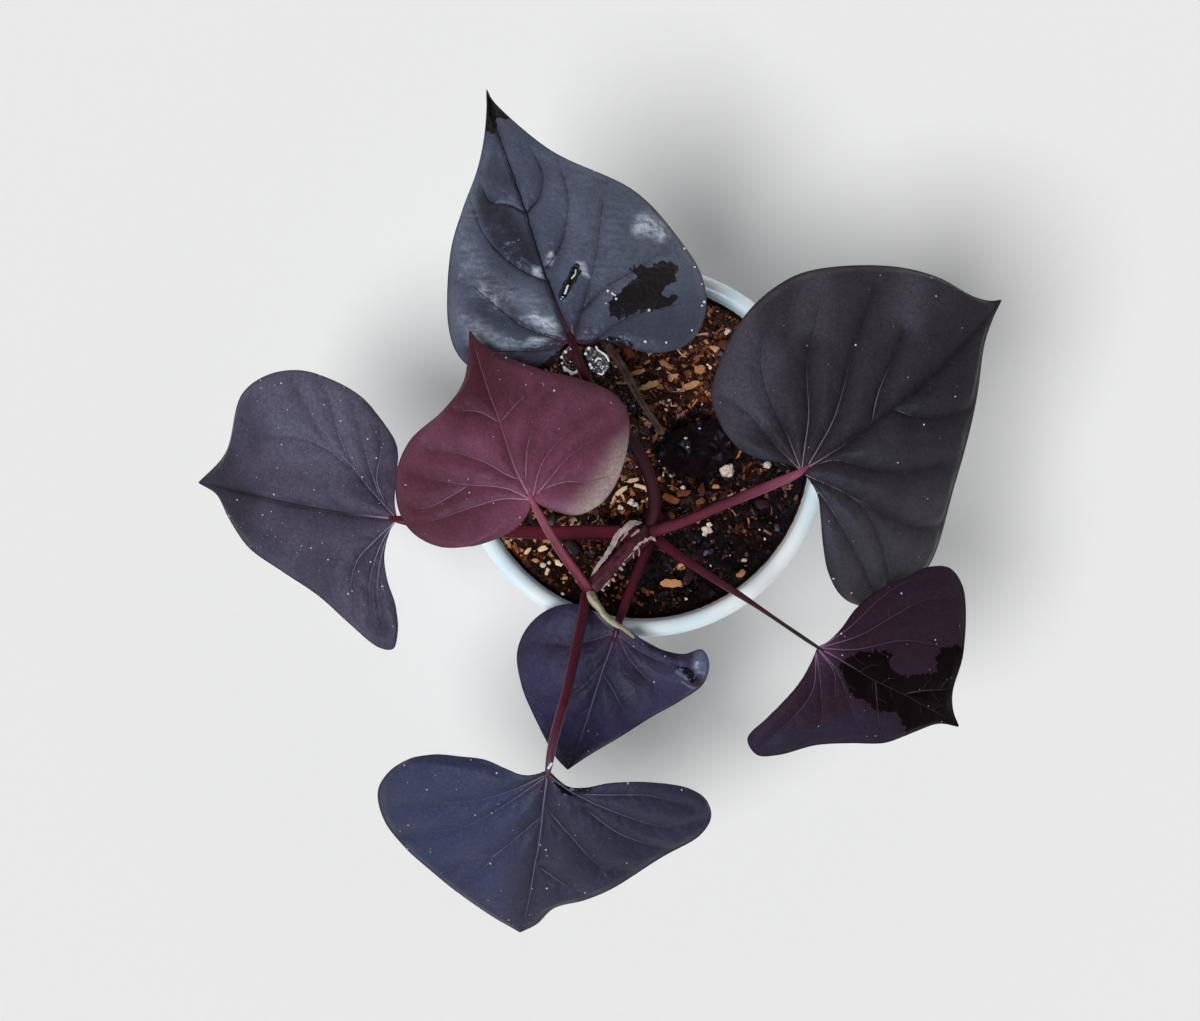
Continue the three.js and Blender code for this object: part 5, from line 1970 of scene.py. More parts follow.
RIGHT_BLADE = Blade(
    "right", CHARCOAL, CHARCOAL_VEIN, hub=(43.5, -7, 134), heading=40,
    midrib=((9.5, -1.5), (31, -3), (55, -3), (77, 0)),
    left=Half(
        ((-2, 4.5), (-6, 9), (-9, 15)),
        (
            (-9, 22.5), (-5.5, 32), (6.5, 40), (18.5, 44), (29.5, 44.5), (39.5, 42), (58, 28), (66.5, 17),
            (71, 6), (74, 2),
        ),
        sag=10,
    ),
    right=Half(
        ((0, -4), (-1, -8.5), (-4, -13.5), (-8, -20), (-11.5, -27.5), (-12.5, -35.5)),
        ((-10, -42), (-4, -46.5), (5, -48.5), (14.5, -48), (33.5, -32), (53, -16), (64, -6.5), (71, -2.5)),
        sag=22,
    ),
    reach=36, rise=3, sag=18, back=3, fold=2, ripple=(0.8, 2),
    veins=(
        ((0, 0), (9.5, -1.5), (31, -3), (55, -3), (77, 0)),
        ((0, 0), (5.5, 5), (11.5, 10.5), (20, 21), (29, 28.5), (37.5, 34)),
        ((1, -0.5), (15.5, 5), (23, 9.5), (31.5, 15.5), (40, 20.5), (50, 25.5)),
        ((23.5, -2.5), (31, 3), (38, 6.5), (48.5, 11.5)),
        ((0, 0), (3.5, 10.5), (6, 21), (11.5, 31), (20, 38)),
        ((0, 0), (-1, 12.5), (-1, 23), (-3, 30.5)),
        ((4, -1), (9, -3.5), (14.5, -10.5), (21, -17.5), (34, -25)),
        ((31, -3), (34, -8), (39.5, -13), (49.5, -18)),
        ((0, -1), (0, -10.5), (-0.5, -17.5), (-2, -31), (-4, -41.5)),
        ((0, -1), (6.5, -15), (7.5, -21), (5, -33), (1, -43.5)),
        ((5.5, -12.5), (10.5, -23.5), (16.5, -34.5), (24, -40)),
    ),
    # Painted sheen.
    pale=(
        Patch(((48, 17), (60, 25), (62, 17), (50, 9)), 5, 0.7),
        Patch(((30, 24), (44, 38), (36, 40), (24, 30)), 4, 0.6),
        Patch(((20, 45), (6, 41), (-6, 32), (-8, 20), (2, 16), (16, 28)), 5, 0.75),
        Patch(((-8, -10), (4, -10), (12, -44), (0, -46), (-10, -40)), 5, 0.3),
    ),
    dark=(Patch(((72, 2), (56, 8), (42, 3), (26, -8), (20, -20), (34, -30), (50, -18), (66, -4)), 6, 0.4),),
    quiet=(4, 5, 6, 7, 10), quilt=2.1, groove=0.5, valley=0.65, crest=0.9, hollow=0.4, crumple=0.35,
    fades=(0.2, 0.7), widths=(0.7, 0.42), specks=0.007,
)
LEFT_BLADE = Blade(
    "left", PLUM_GREY, PLUM_VEIN, hub=(-71.5, -20.5, 113), heading=170,
    midrib=((16, 1), (35, 1), (54.5, 0), (63, 0)),
    left=Half(
        ((1.5, 3.5), (2, 11), (0, 18), (-3.5, 25)),
        (
            (-5, 32), (-4.5, 38), (-0.5, 38.5), (9.5, 33), (20, 26.5), (32.5, 21), (43.5, 16), (51.5, 8.5),
            (56.5, 2.5),
        ),
        sag=10,
    ),
    right=Half(
        ((1.5, -4), (2.5, -11), (3.5, -19.5)),
        (
            (6, -23.5), (11.5, -29), (17.5, -33.5), (27, -37), (38.5, -38.5), (48, -35.5), (54.5, -28.5),
            (56, -10.5),
        ),
        sag=8,
    ),
    reach=34, rise=-8, sag=12, back=2, fold=2, ripple=(1.0, 2),
    veins=(
        ((0, 0), (16, 1), (35, 1), (54.5, 0), (63, 0)),
        ((0, 0), (8, -6), (17, -13.5), (26.5, -20), (32.5, -27), (40, -35.5)),
        ((6, -5), (10.5, -13), (14.5, -21), (19.5, -31)),
        ((17, -13.5), (22.5, -22.5), (27, -31), (31, -36)),
        ((16.5, -12.5), (25.5, -17), (32, -18.5), (43, -17.5)),
        ((4.5, -4), (8, -10), (8.5, -19), (10, -25.5)),
        ((0, 0), (6, 8), (9.5, 13.5), (10.5, 20), (9, 29)),
        ((0.5, 0.5), (3.5, 8), (5, 19), (3, 30)),
        ((0.5, 1), (2.5, 8), (2.5, 21.5), (-1, 33)),
    ),
    pale=(Patch(((20, -36), (42, -40), (52, -30), (40, -12), (20, -8), (10, -16)), 6, 0.75),),
    dark=(
        Patch(((66, 2), (52, 12), (42, 14), (42, 2), (48, -6), (58, -14), (62, -6)), 5, 0.75),
        Patch(((6, 24), (22, 26), (30, 18), (18, 10), (8, 14)), 6, 0.3),
    ),
    quilt=1.5, groove=0.6, valley=0.7, crumple=0.4, fades=(0.35, 0.9), widths=(0.95, 0.42), specks=0.03,
)
YOUNG_BLADE = Blade(
    "young", MAROON, MAROON_VEIN, hub=(-31.5, -15, 141), heading=111,
    midrib=((7, 1), (19, 0.5), (32, 0.5), (50.5, -0.5)),
    left=Half(
        ((-2.5, 1.5), (-5.5, 6), (-6.5, 12)),
        (
            (-6, 19.5), (-3, 28.5), (3.5, 34.5), (11, 36), (20.5, 33), (27.5, 26), (32, 14), (37, 6.5),
            (43.5, 2.5),
        ),
        sag=8,
    ),
    right=Half(
        ((-2.5, -2), (-5, -4.5), (-8.5, -10.5)),
        (
            (-7.5, -18), (-3.5, -24), (6, -31), (13.5, -33.5), (20, -31.5), (26.5, -24.5), (33, -15),
            (45.5, -2.5),
        ),
        sag=8,
    ),
    reach=32, rise=0, sag=8, back=5, fold=2, ripple=(0.9, 2),
    veins=(
        ((0, 0), (7, 1), (14, 1), (23, 0.5), (32, 0.5), (41, 0), (50.5, -0.5)),
        ((0, 0), (5.5, 5.5), (10.5, 15.5), (14.5, 22.5), (20, 30)),
        ((0, 0), (3, 7), (4, 16), (4.5, 27.5), (6, 34)),
        ((6, 0.5), (8.5, 3.5), (14, 8), (19, 14), (23, 21.5)),
        ((10, 14.5), (9, 21), (8.5, 28.5), (11, 34)),
        ((0, 0), (8.5, -6.5), (13.5, -15), (17, -27)),
        ((1, -2), (3.5, -6.5), (7.5, -14), (9.5, -23.5), (9, -31)),
        ((4.5, 0), (9.5, -2), (14.5, -4.5), (20, -9), (26, -15)),
        ((1.5, -3.5), (1.5, -9.5), (-1, -17), (-1.5, -24)),
        ((23, 0.5), (26, -5), (29, -13)),
        ((23, 0.5), (28, 5), (31, 12)),
    ),
    pale=(
        Patch(
            ((9, -36), (-1, -32), (-9, -23), (-13, -10), (-8, -8), (-4.5, -14), (0, -21), (5, -27)),
            4.5, 1.0,
        ),
    ),
    dark=(
        Patch(((54, 2), (38, 14), (26, 12), (24, -8), (46, -8)), 7, 0.85),
        Patch(((-6, 12), (-5, 28), (4, 36), (16, 37), (28, 26), (18, 20), (6, 14)), 7, 0.5),
        Patch(((20, -34), (30, -24), (38, -10), (30, -12), (22, -24)), 5, 0.4),
    ),
    slot="leaf_young", quilt=1.3, groove=0.26, valley=0.22, hollow=0.25, crumple=0.2, fades=(0.3, 0.95),
    widths=(0.75, 0.5), specks=0.012,
)
SMALL_BLADE = Blade(
    "small", INK, INK_VEIN, hub=(-8, -54.5, 101), heading=-109,
    midrib=((7.5, 0), (19.5, 0), (34.5, 0.5), (45, 0)),
    left=Half(
        ((-2, 3), (-1, 8), (0, 15), (-1, 21)),
        ((-4, 25.5), (-1.5, 28.5), (5.5, 29.5), (13, 25), (21, 18), (29.5, 11.5), (38, 5)),
        sag=5,
    ),
    right=Half(
        ((-1.5, -4), (-4.5, -10)),
        ((-4, -15.5), (0, -21.5), (7, -25.5), (15.5, -26), (24.5, -21.5), (31, -16), (42.5, -4.5)),
        sag=6,
    ),
    reach=27, rise=-6, sag=10, back=2, fold=2, ripple=(0.7, 2),
    veins=(
        ((0, 0), (7.5, 0), (16.5, 0), (28.5, 0.5), (38, 0.5), (45, 0)),
        ((0, 0.5), (6, 6.5), (10, 14), (12.5, 22)),
        ((0, 0.5), (2.5, 8.5), (3.5, 18.5), (3, 26)),
        ((12.5, 0), (17.5, 6), (24, 12)),
        ((0, -0.5), (4.5, -6.5), (8, -13), (10, -22)),
        ((8.5, 0), (19, -4.5), (24.5, -9), (28, -15)),
        ((23.5, 0), (30, -3.5), (35.5, -8)),
    ),
    swells=((-2, 29, 9, 6),),
    # Painted shade: the dark crease under the curled tip, made as a film of water.
    films=(
        Patch((
            (3.1, 19.6), (2.2, 22.7), (2.6, 25), (4.0, 27.2), (5.7, 29.4), (7.4, 28.8), (6.1, 26.2),
            (4.6, 24), (3.8, 21.6),
        )),
    ),
    # Painted highlights on the curled tip of the lobe.
    pale=(
        Patch(((-3.1, 23.8), (-4.1, 27.3), (-1, 28.8), (4, 29.4), (2.2, 26.4), (1.5, 24.6)), 1.0, 0.26),
        Patch(((-0.6, 25.1), (-0.5, 26.1), (1.6, 26.1), (1.5, 25.1)), 0.35, 0.95),
        Patch(((1.9, 26), (1.8, 28.8), (2.6, 28.8), (2.8, 26)), 0.3, 0.5),
        Patch(((4.3, 20.6), (5.0, 24.4), (5.6, 24.2), (4.8, 20.5)), 0.3, 0.4),
        Patch(((6.3, 23.3), (7.3, 27.8), (7.8, 27.6), (6.8, 23.2)), 0.3, 0.4),
    ),
    # The first is painted shade at the edge of the notch, the second darker tone.
    dark=(
        Patch(((-0.5, 9), (1.2, 11), (1.8, 17), (1.4, 19.5), (-1, 20), (-1.5, 12)), 0.6, 0.9),
        Patch(((10, -3), (8, 8), (14, 16), (24, 12), (28, 2), (20, -4)), 4.0, 0.4),
    ),
    crumpled=(Patch(((-4, 22), (8, 20), (10, 28), (2, 32), (-6, 30)), 2.0, 0.8),),
    quilt=1.0, groove=0.28, crumple=0.3, fades=(0.45, 0.95), widths=(0.7, 0.38), specks=0.012,
)
FRONT_BLADE = Blade(
    "front", INDIGO, INDIGO_VEIN, hub=(-27.5, -92, 121), heading=-100,
    midrib=((12.5, 0.5), (27.5, 1), (43.5, 1), (56.5, 0)),
    left=Half(
        ((2, 2.5), (4, 6.5), (3.5, 11.5), (1, 18), (-1, 29.5), (-0.5, 41.5)),
        ((2.5, 47), (7.5, 49.5), (13.5, 47.5), (22, 38), (34.5, 25), (40, 17.5), (45, 9), (52.5, 4.5)),
        sag=14,
    ),
    right=Half(
        ((2, -3), (3, -7), (2, -12), (0.5, -18.5), (1, -25.5), (2, -33)),
        ((5, -40), (10, -45.5), (17.5, -48.5), (27, -45.5), (34, -38.5), (40, -29), (46.5, -19), (52.5, -9)),
        sag=12,
    ),
    reach=45, rise=-22, sag=18, back=2, fold=4, ripple=(1.0, 2),
    veins=(
        ((1, 0), (12.5, 0.5), (22.5, 1), (32.5, 1), (44.5, 1), (56, 0.5)),
        ((1.5, 0), (8, -9), (12.5, -17), (16.5, -28.5), (20, -40)),
        ((2, 0), (13, -10.5), (23, -22), (27, -32.5), (31, -40)),
        ((14.5, 0.5), (24, -6.5), (31, -12.5), (37.5, -25)),
        ((28, -10), (36.5, -15), (41, -20)),
        ((1.5, 0), (5.5, 8), (9.5, 21), (12, 37), (9, 46.5)),
        ((6, 9), (4.5, 18.5), (3, 30), (4.5, 42.5)),
        ((12, 1.5), (19.5, 10), (27.5, 20), (28, 27.5)),
        ((10, 12.5), (16.5, 24.5), (19.5, 39)),
        ((31.5, 2.5), (35.5, 10), (37.5, 15.5)),
    ),
    swells=((6.5, 6.5, 3.2, 0.9), (3.4, 5.4, 1.6, -0.8)),
    # Painted shade: the black fold at the notch beside the hub, made as a film of water.
    films=(Patch(((1, 0.8), (3.4, 1.6), (6.6, 5.4), (6.6, 9.5), (4.6, 13), (1, 13.6), (0, 6))),),
    # Painted sheen.
    pale=(
        Patch(((8, -4), (30, -6), (50, -6), (42, -20), (34, -38), (12, -50), (4, -40), (3, -12)), 7, 0.62),
    ),
    dark=(
        Patch(((40, -6), (56, 0), (46, 8), (34, 14), (30, 4)), 6, 0.15),
        Patch(((20, 12), (34, 10), (34, 22), (22, 34), (14, 30)), 5, 0.35),
    ),
    quilt=1.6, groove=0.35, hollow=0.4, crumple=0.2, fades=(0.5, 0.98), widths=(0.7, 0.38), specks=0.014,
)
WET_BLADE = Blade(
    "wet", AUBERGINE, AUBERGINE_VEIN, hub=(49.5, -57, 121), heading=-29,
    midrib=((9, 0.5), (25.5, 0), (40.5, 0), (52.5, -0.5)),
    left=Half(
        ((2, 3), (3.5, 8), (4.5, 15), (8, 23), (13.5, 30)),
        ((18.5, 36), (24.5, 39), (31, 36.5), (36, 30.5), (41.5, 18.5), (44.5, 8), (48, 3)),
        sag=8,
    ),
    right=Half(
        ((0.5, -4), (0.5, -11.5), (-1, -19.5), (-2.5, -25.5)),
        ((-4, -33), (1, -36), (6.5, -33), (14.5, -25.5), (23.5, -20), (33, -15), (40, -8), (46, -2.5)),
        sag=14,
    ),
    reach=38, rise=-14, sag=14, back=2, fold=3, ripple=(0.9, 2),
    veins=(
        ((0.5, 0), (8.5, 0), (19.5, -0.5), (30, 0), (40, 0), (52, 0)),
        ((0.5, 0), (5.5, 9.5), (9.5, 21), (14, 28.5), (21.5, 34)),
        ((0.5, 0), (9.5, 9), (15, 17.5), (22, 27), (30.5, 32)),
        ((0.5, 0), (10, 4.5), (22.5, 14), (38.5, 19)),
        ((0.5, -0.5), (8, -4), (11, -8.5), (14.5, -14)),
        ((1, -0.5), (8, -3), (13.5, -7), (19.5, -12.5)),
        ((0, -1), (5, -11.5), (4, -22), (1, -31.5)),
        ((0, -1), (8, -11.5), (12.5, -19.5), (9.5, -26)),
        ((20.5, -0.5), (25.5, -7.5), (30.5, -14)),
        ((31, 0.5), (36, 4), (43.5, 8)),
    ),
    films=(
        Patch((
            (8, -1.5), (10.9, 3.8), (13.3, 5.7), (17.5, 8.2), (20.8, 8.6), (21.3, 5.5), (24.1, 4.4),
            (27.9, 5.3), (32, 7.8), (35.5, 10.3), (33.4, 13.8), (33.5, 17.2), (37, 19.7), (44, 22), (50, 10),
            (56, 0), (53, -4), (38, -13), (37.1, -9.9), (33.4, -6.8), (30.3, -5.8), (26.5, -7.8), (20.3, -7),
            (17, -7.4), (14.4, -6.7), (10.6, -4),
        )),
    ),
    # Painted sheen on the lower lobe.
    pale=(
        Patch((
            (19, -9.5), (27, -9), (33, -9), (37, -13), (24, -24), (12, -29), (2, -38), (-6, -35), (3, -26),
            (12, -19), (16, -13),
        ), 3.0, 0.5),
    ),
    quilt=0.9, groove=0.28, hollow=0.2, crumple=0.15, fades=(0.5, 0.98), widths=(0.6, 0.42), specks=0.01,
)
BLADES = (BACK_BLADE, RIGHT_BLADE, LEFT_BLADE, YOUNG_BLADE, SMALL_BLADE, FRONT_BLADE, WET_BLADE)


# ------------------------ stalks


@dataclass(frozen=True)
class Stalk:
    """A round, tapering piece that follows a route: a petiole, the stem or the shoot."""

    name: str
    finish: Finish
    route: Route
    radii: Pair
    slot: str
    nodes: tuple[str, ...]
    flatten: float = 1.0  # of the section's height
    channel: float = 0.0  # depth of the groove along its upper side, as a share of the radius
    ridges: float = 0.0  # depth of lengthwise ridges, as a share of the radius
    ridge_count: int = 9
    lumps: float = 0.0  # uneven swellings, as a share of the radius
    root_flare: float = 0.0  # how much wider it is where it grows from
    root_reach: float = 3.0
    tip_flare: float = 0.0
    tip_reach: float = 2.5
    neck: float = 0.0  # share of the radius lost where it is drawn thin, past its middle
    neck_place: Pair = (0.72, 0.25)  # where that is and how far it reaches, over the length
    channel_width: float = 0.45  # in radians
    ridge_sway: Pair = (0.8, 6)  # how far ridges wander, in radians, and how slowly
    lump_sizes: Pair = (2.2, 0.6)  # millimetres along it, and how they differ round it
    joint: Pair = (0.8, 6.0)  # share and reach of the joint's colour
    far_from: float = 0.55  # share of its length where the end's colour starts
    lean: float = -0.5  # of the painted highlight band from the top of the section, in radians
    sides: int = 28
    step: float = 0.5  # millimetres between sections
    steep: float = 0.9  # a stalk that starts this steeply has no upper side there
    sideways: Point = (0.35, 0.9, 0.2)  # and takes this way for it
    righting: float = 0.15  # how soon its upper side turns up again

    def frames(self, count: int) -> tuple[np.ndarray, np.ndarray, np.ndarray, float]:
        """Sections along the route.

        Args:
            count: How many steps.

        Returns:
            Centres, upward normals, sideways normals, and the route's length.
        """
        curve = Spline(self.route)
        centres = curve.at(np.linspace(0, 1, count + 1))
        ahead = np.gradient(centres, axis=0)
        ahead /= np.linalg.norm(ahead, axis=1, keepdims=True)
        up = np.array([0.0, 0.0, 1.0])
        if abs(ahead[0] @ up) > self.steep:
            up = np.array(self.sideways)
        ups = []
        for way in ahead:
            flat = up - (up @ way) * way
            up = flat / np.linalg.norm(flat)
            lifted = np.array([0, 0, 1.0]) - way[2] * way
            if np.linalg.norm(lifted) > 0.5:
                up = up + self.righting * lifted / np.linalg.norm(lifted)
                up -= (up @ way) * way
                up /= np.linalg.norm(up)
            ups.append(up)
        ups = np.array(ups)
        return centres, ups, np.cross(ahead, ups), curve.length

    def build(self) -> Object:
        """Sweeps the section along the route, and rounds both ends.

        Returns:
            The piece.
        """
        count = max(12, round(Spline(self.route).length / self.step))
        centres, ups, sides, length = self.frames(count)
        angle = np.arange(self.sides) * 2 * math.pi / self.sides
        bend = np.angle(np.exp(1j * angle))
        share = np.linspace(0, 1, count + 1)
        run = share * length
        flare = self.root_flare * np.exp(-run / self.root_reach)
        flare = flare + self.tip_flare * np.exp(-(length - run) / self.tip_reach)
        neck = self.neck * bell(share - self.neck_place[0], self.neck_place[1])
        radius = (self.radii[0] + (self.radii[1] - self.radii[0]) * share) * (1 + flare) * (1 - neck)
        ends = np.clip(np.minimum(run, length - run) / np.maximum(radius, 1e-6), 0, 1)
        radius = radius * np.sqrt(np.clip(1 - (1 - ends) ** 2, 0.02, 1))
        sway, slowness = self.ridge_sway
        wave = self.ridge_count * angle + sway * np.sin(run / slowness)[:, None]
        shape = 1 - self.channel * bell(bend, self.channel_width) + self.ridges * np.sin(wave)
        rise = np.cos(angle)[:, None] * ups[:, None]
        aside = np.sin(angle)[:, None] * sides[:, None]
        if self.lumps:
            length_size, turn_size = self.lump_sizes
            read = centres[:, None] / length_size + turn_size * (rise + aside)
            shape = shape + self.lumps * clouds(read, 1.0, 3)
        reach = (radius[:, None] * shape)[..., None]
        vertices = centres[:, None] + reach * (self.flatten * rise + aside)
        flat = np.repeat(share, self.sides)
        marks = {
            "along": np.repeat(run, self.sides),
            # Read there and back round the stalk, so that no seam shows.
            "around": np.tile(np.abs(bend) * self.radii[0], count + 1),
            # Where the painted highlight band lies round the stalk.
            "upper": np.tile(0.5 + 0.5 * np.cos(angle + self.lean), count + 1),
            "far": smoothstep(self.far_from, 1.0, flat),
            "near": self.joint[0] * (1 - smoothstep(0.0, self.joint[1], np.repeat(run, self.sides))),
        }
        heap = Heap()
        heap.add(vertices.reshape(-1, 3), tube(count, self.sides), **marks)
        return place(heap.mesh(self.name, 80), self.slot, *self.nodes, finish=self.finish)


LEAVES = {blade.name: blade for blade in BLADES}
TONGUE = 2.8  # how far a petiole runs on under its blade, past the hub


def petiole(
    name: str,
    finish: Finish,
    route: Route,
    radii: Pair,
    far_from: float = 0.55,
    neck: float = 0.0,
) -> Stalk:
    """A leaf's stalk, from its joint on the stem to the leaf's hub.

    Args:
        name: The leaf's name.
        finish: Its skin.
        route: Its points before the hub.
        radii: Its radius at the joint and at the hub.
        far_from: Share of its length where the end's colour starts.
        neck: Share of the radius lost where it is drawn thin.

    Returns:
        The stalk.
    """
    blade = LEAVES[name]
    x, y, z = blade.hub
    turn = math.radians(blade.heading)
    rise = blade.rise / blade.midrib[-1][0]
    reach = TONGUE
    tongue = (x + reach * math.cos(turn), y + reach * math.sin(turn), z - 0.5 + reach * rise)
    return Stalk(
        "stalk_" + name, finish, (*route, (x, y, z - 0.1), tongue), radii, "petiole", ("petiole_" + name,),
        channel=0.12, root_flare=0.22, tip_flare=-0.82, tip_reach=3.2, far_from=far_from, neck=neck,
        step=0.4,
    )


# The top colour of each stalk skin is a painted highlight band along the upper side.
DEEP_WINE = StalkSkin("deep_wine_stalk", colour="#2c0e17", top="#4a1826", end="#3a111e")
SHADED_WINE = StalkSkin("shaded_wine_stalk", colour="#1f0910", top="#3a131d", end="#300f19", root="#1c090e")
CRIMSON = StalkSkin("crimson_stalk", colour="#3d0f1b", top="#611c2c", end="#4a1420")
ROSE_WINE = StalkSkin("rose_wine_stalk", colour="#340c18", top="#5c2133", end="#7e4057", root="#220b12")
BLUSH = StalkSkin("blush_rose_stalk", colour="#5a1828", top="#8e4257", end="#8f4b60", root="#4a1828")
LILAC_WINE = StalkSkin("lilac_wine_stalk", colour="#280b15", top="#481525", end="#553043")
BLACK_WINE = StalkSkin("black_wine_stalk", colour="#2b0d18", top="#4b1827", end="#252123", ridge=0.5)

STALKS = (
    petiole(
        "back", SHADED_WINE,
        ((2.5, -23, 97), (3.5, -15, 103), (-0.5, -2.5, 112), (-9.5, 9.5, 121), (-16.5, 19, 129)),
        radii=(2.1, 1.5),
    ),
    petiole(
        "right", ROSE_WINE,
        ((2, -24.5, 98), (11, -21.5, 105), (22, -16.5, 117), (35, -11, 129)),
        radii=(1.8, 1.35),
    ),
    petiole(
        "left", CRIMSON,
        ((0, -25.5, 95), (-12.5, -24.5, 99), (-30.5, -24.5, 104), (-53.5, -23, 109)),
        radii=(2.3, 1.6),
    ),
    petiole(
        "young", BLUSH,
        ((-16, -41.5, 103), (-19, -37, 110), (-24.5, -28.5, 124), (-29, -20, 137)),
        radii=(1.5, 1.15),
    ),
    petiole(
        "small", DEEP_WINE,
        ((3, -26, 93), (0, -33, 96), (-4.5, -44, 99.5), (-7.5, -52, 101)),
        radii=(1.7, 1.3),
    ),
    petiole(
        "front", LILAC_WINE,
        ((-16.5, -42, 102), (-17.5, -47.5, 107), (-19.5, -57, 113), (-22.5, -71, 119), (-26, -83.5, 121.5)),
        radii=(1.7, 1.3),
    ),
    petiole(
        "wet", BLACK_WINE,
        ((4, -26, 96), (11, -31.5, 101), (22.5, -39, 108), (31, -44.5, 114), (42, -52, 119.5)),
        radii=(1.7, 0.8), far_from=0.3, neck=0.45,
    ),
    Stalk(
        "woody_stem",
        DryTissue("stem_skin", pale="#5b2c37", dark="#2a1018", roughness=0.5, width=0.8, streaks=8),
        ((7.5, -19, 70), (5.5, -20, 84), (2.5, -24, 95), (-2, -28, 99), (-9, -34.5, 101), (-16, -41.5, 103)),
        radii=(3.0, 2.2), slot="stem", nodes=("main_stem",), ridges=0.02, lumps=0.05, root_flare=0.1,
        tip_flare=0.15, step=0.4, sides=36,
    ),
    Stalk(
        "pale_shoot",
        StalkSkin(
            "pale_shoot_skin", colour="#7b7762", top="#b6b19b", end="#8f8874", root="#a2917f",
            roughness=0.55,
        ),
        (
            (-16, -42, 103.5), (-14.5, -44.5, 106.5), (-10, -50, 107.5), (-5.5, -53, 106.5),
            (-2.5, -55.5, 106),
        ),
        radii=(1.35, 0.45), slot="shoot", nodes=("young_shoot",), ridges=0.12, ridge_count=3, lumps=0.45,
        step=0.3,
    ),
    Stalk(
        "dead_stalk",
        DryTissue("dead_stalk_skin", pale="#8f6f60", dark="#1f0f0b", roughness=0.6, width=0.5, streaks=14),
        ((-13.5, 38.5, 78), (-11.5, 33.5, 90), (-6.5, 26, 94), (0, 14.5, 93), (6.5, 5, 90.6)),
        radii=(1.4, 1.0), slot="dead_stalk", nodes=("dead_petiole",), channel=0.45, ridges=0.08,
        ridge_count=7, lumps=0.12, step=0.4,
    ),
)


@dataclass(frozen=True)
class Ribbon:
    """One thin ragged strip of dry skin that follows a route."""

    route: Route
    widths: Pair  # at both ends
    curl: float = 0.25  # how far its edges curl up, as a share of its width
    seed: float = 0.0
    thickness: float = 0.34
    tear: float = 0.55  # how uneven its edges are
    buckle: float = 0.35  # how far it rises and dips, in millimetres
    blunt: Route = ((5, 0.25), (8, 0.15))  # how fast both ends widen, and from what share of the width
    tear_length: float = 0.9
    buckle_length: float = 1.3
    step: float = 0.16
    around: int = 14

    def add_to(self, heap: Heap) -> None:
        """Adds the strip to a heap, as a closed flat tube."""
        curve = Spline(self.route)
        count = round(curve.length / self.step)
        share = np.linspace(0, 1, count + 1)[:, None]
        run = share * curve.length
        centres = curve.at(share[:, 0])
        ahead = np.gradient(centres, axis=0)
        across = np.cross(ahead, (0, 0, 1))
        across /= np.linalg.norm(across, axis=1, keepdims=True)
        up = np.cross(across, ahead)
        up /= np.linalg.norm(up, axis=1, keepdims=True)
        (rise, first), (fall, last) = self.blunt
        end = np.minimum(1.0, np.minimum(rise * share + first, fall * (1 - share) + last))
        width = 0.5 * (self.widths[0] + (self.widths[1] - self.widths[0]) * share) * end
        turn = 2 * math.pi * np.arange(self.around) / self.around
        side = np.cos(turn)[None, :]
        both = np.broadcast_arrays(run / self.tear_length, 3.0 * (side > 0), 9 * self.seed)
        edge = np.stack(both, axis=-1)
        tear = 1 + self.tear * (clouds(edge, 1.0) + 0.5 * clouds(edge, 0.32))
        middle = np.stack(np.broadcast_arrays(run / self.buckle_length, 1.2 * side, self.seed), axis=-1)
        curl = self.curl * width * side**2
        lift = self.thickness / 2 * np.sin(turn) + curl + self.buckle * clouds(middle, 1.0)
        out = (side * width * tear)[..., None] * across[:, None] + lift[..., None] * up[:, None]
        marks = {"along": np.repeat(run, self.around), "around": (side * width).ravel()}
        heap.add((centres[:, None] + out).reshape(-1, 3), tube(count, self.around), **marks)


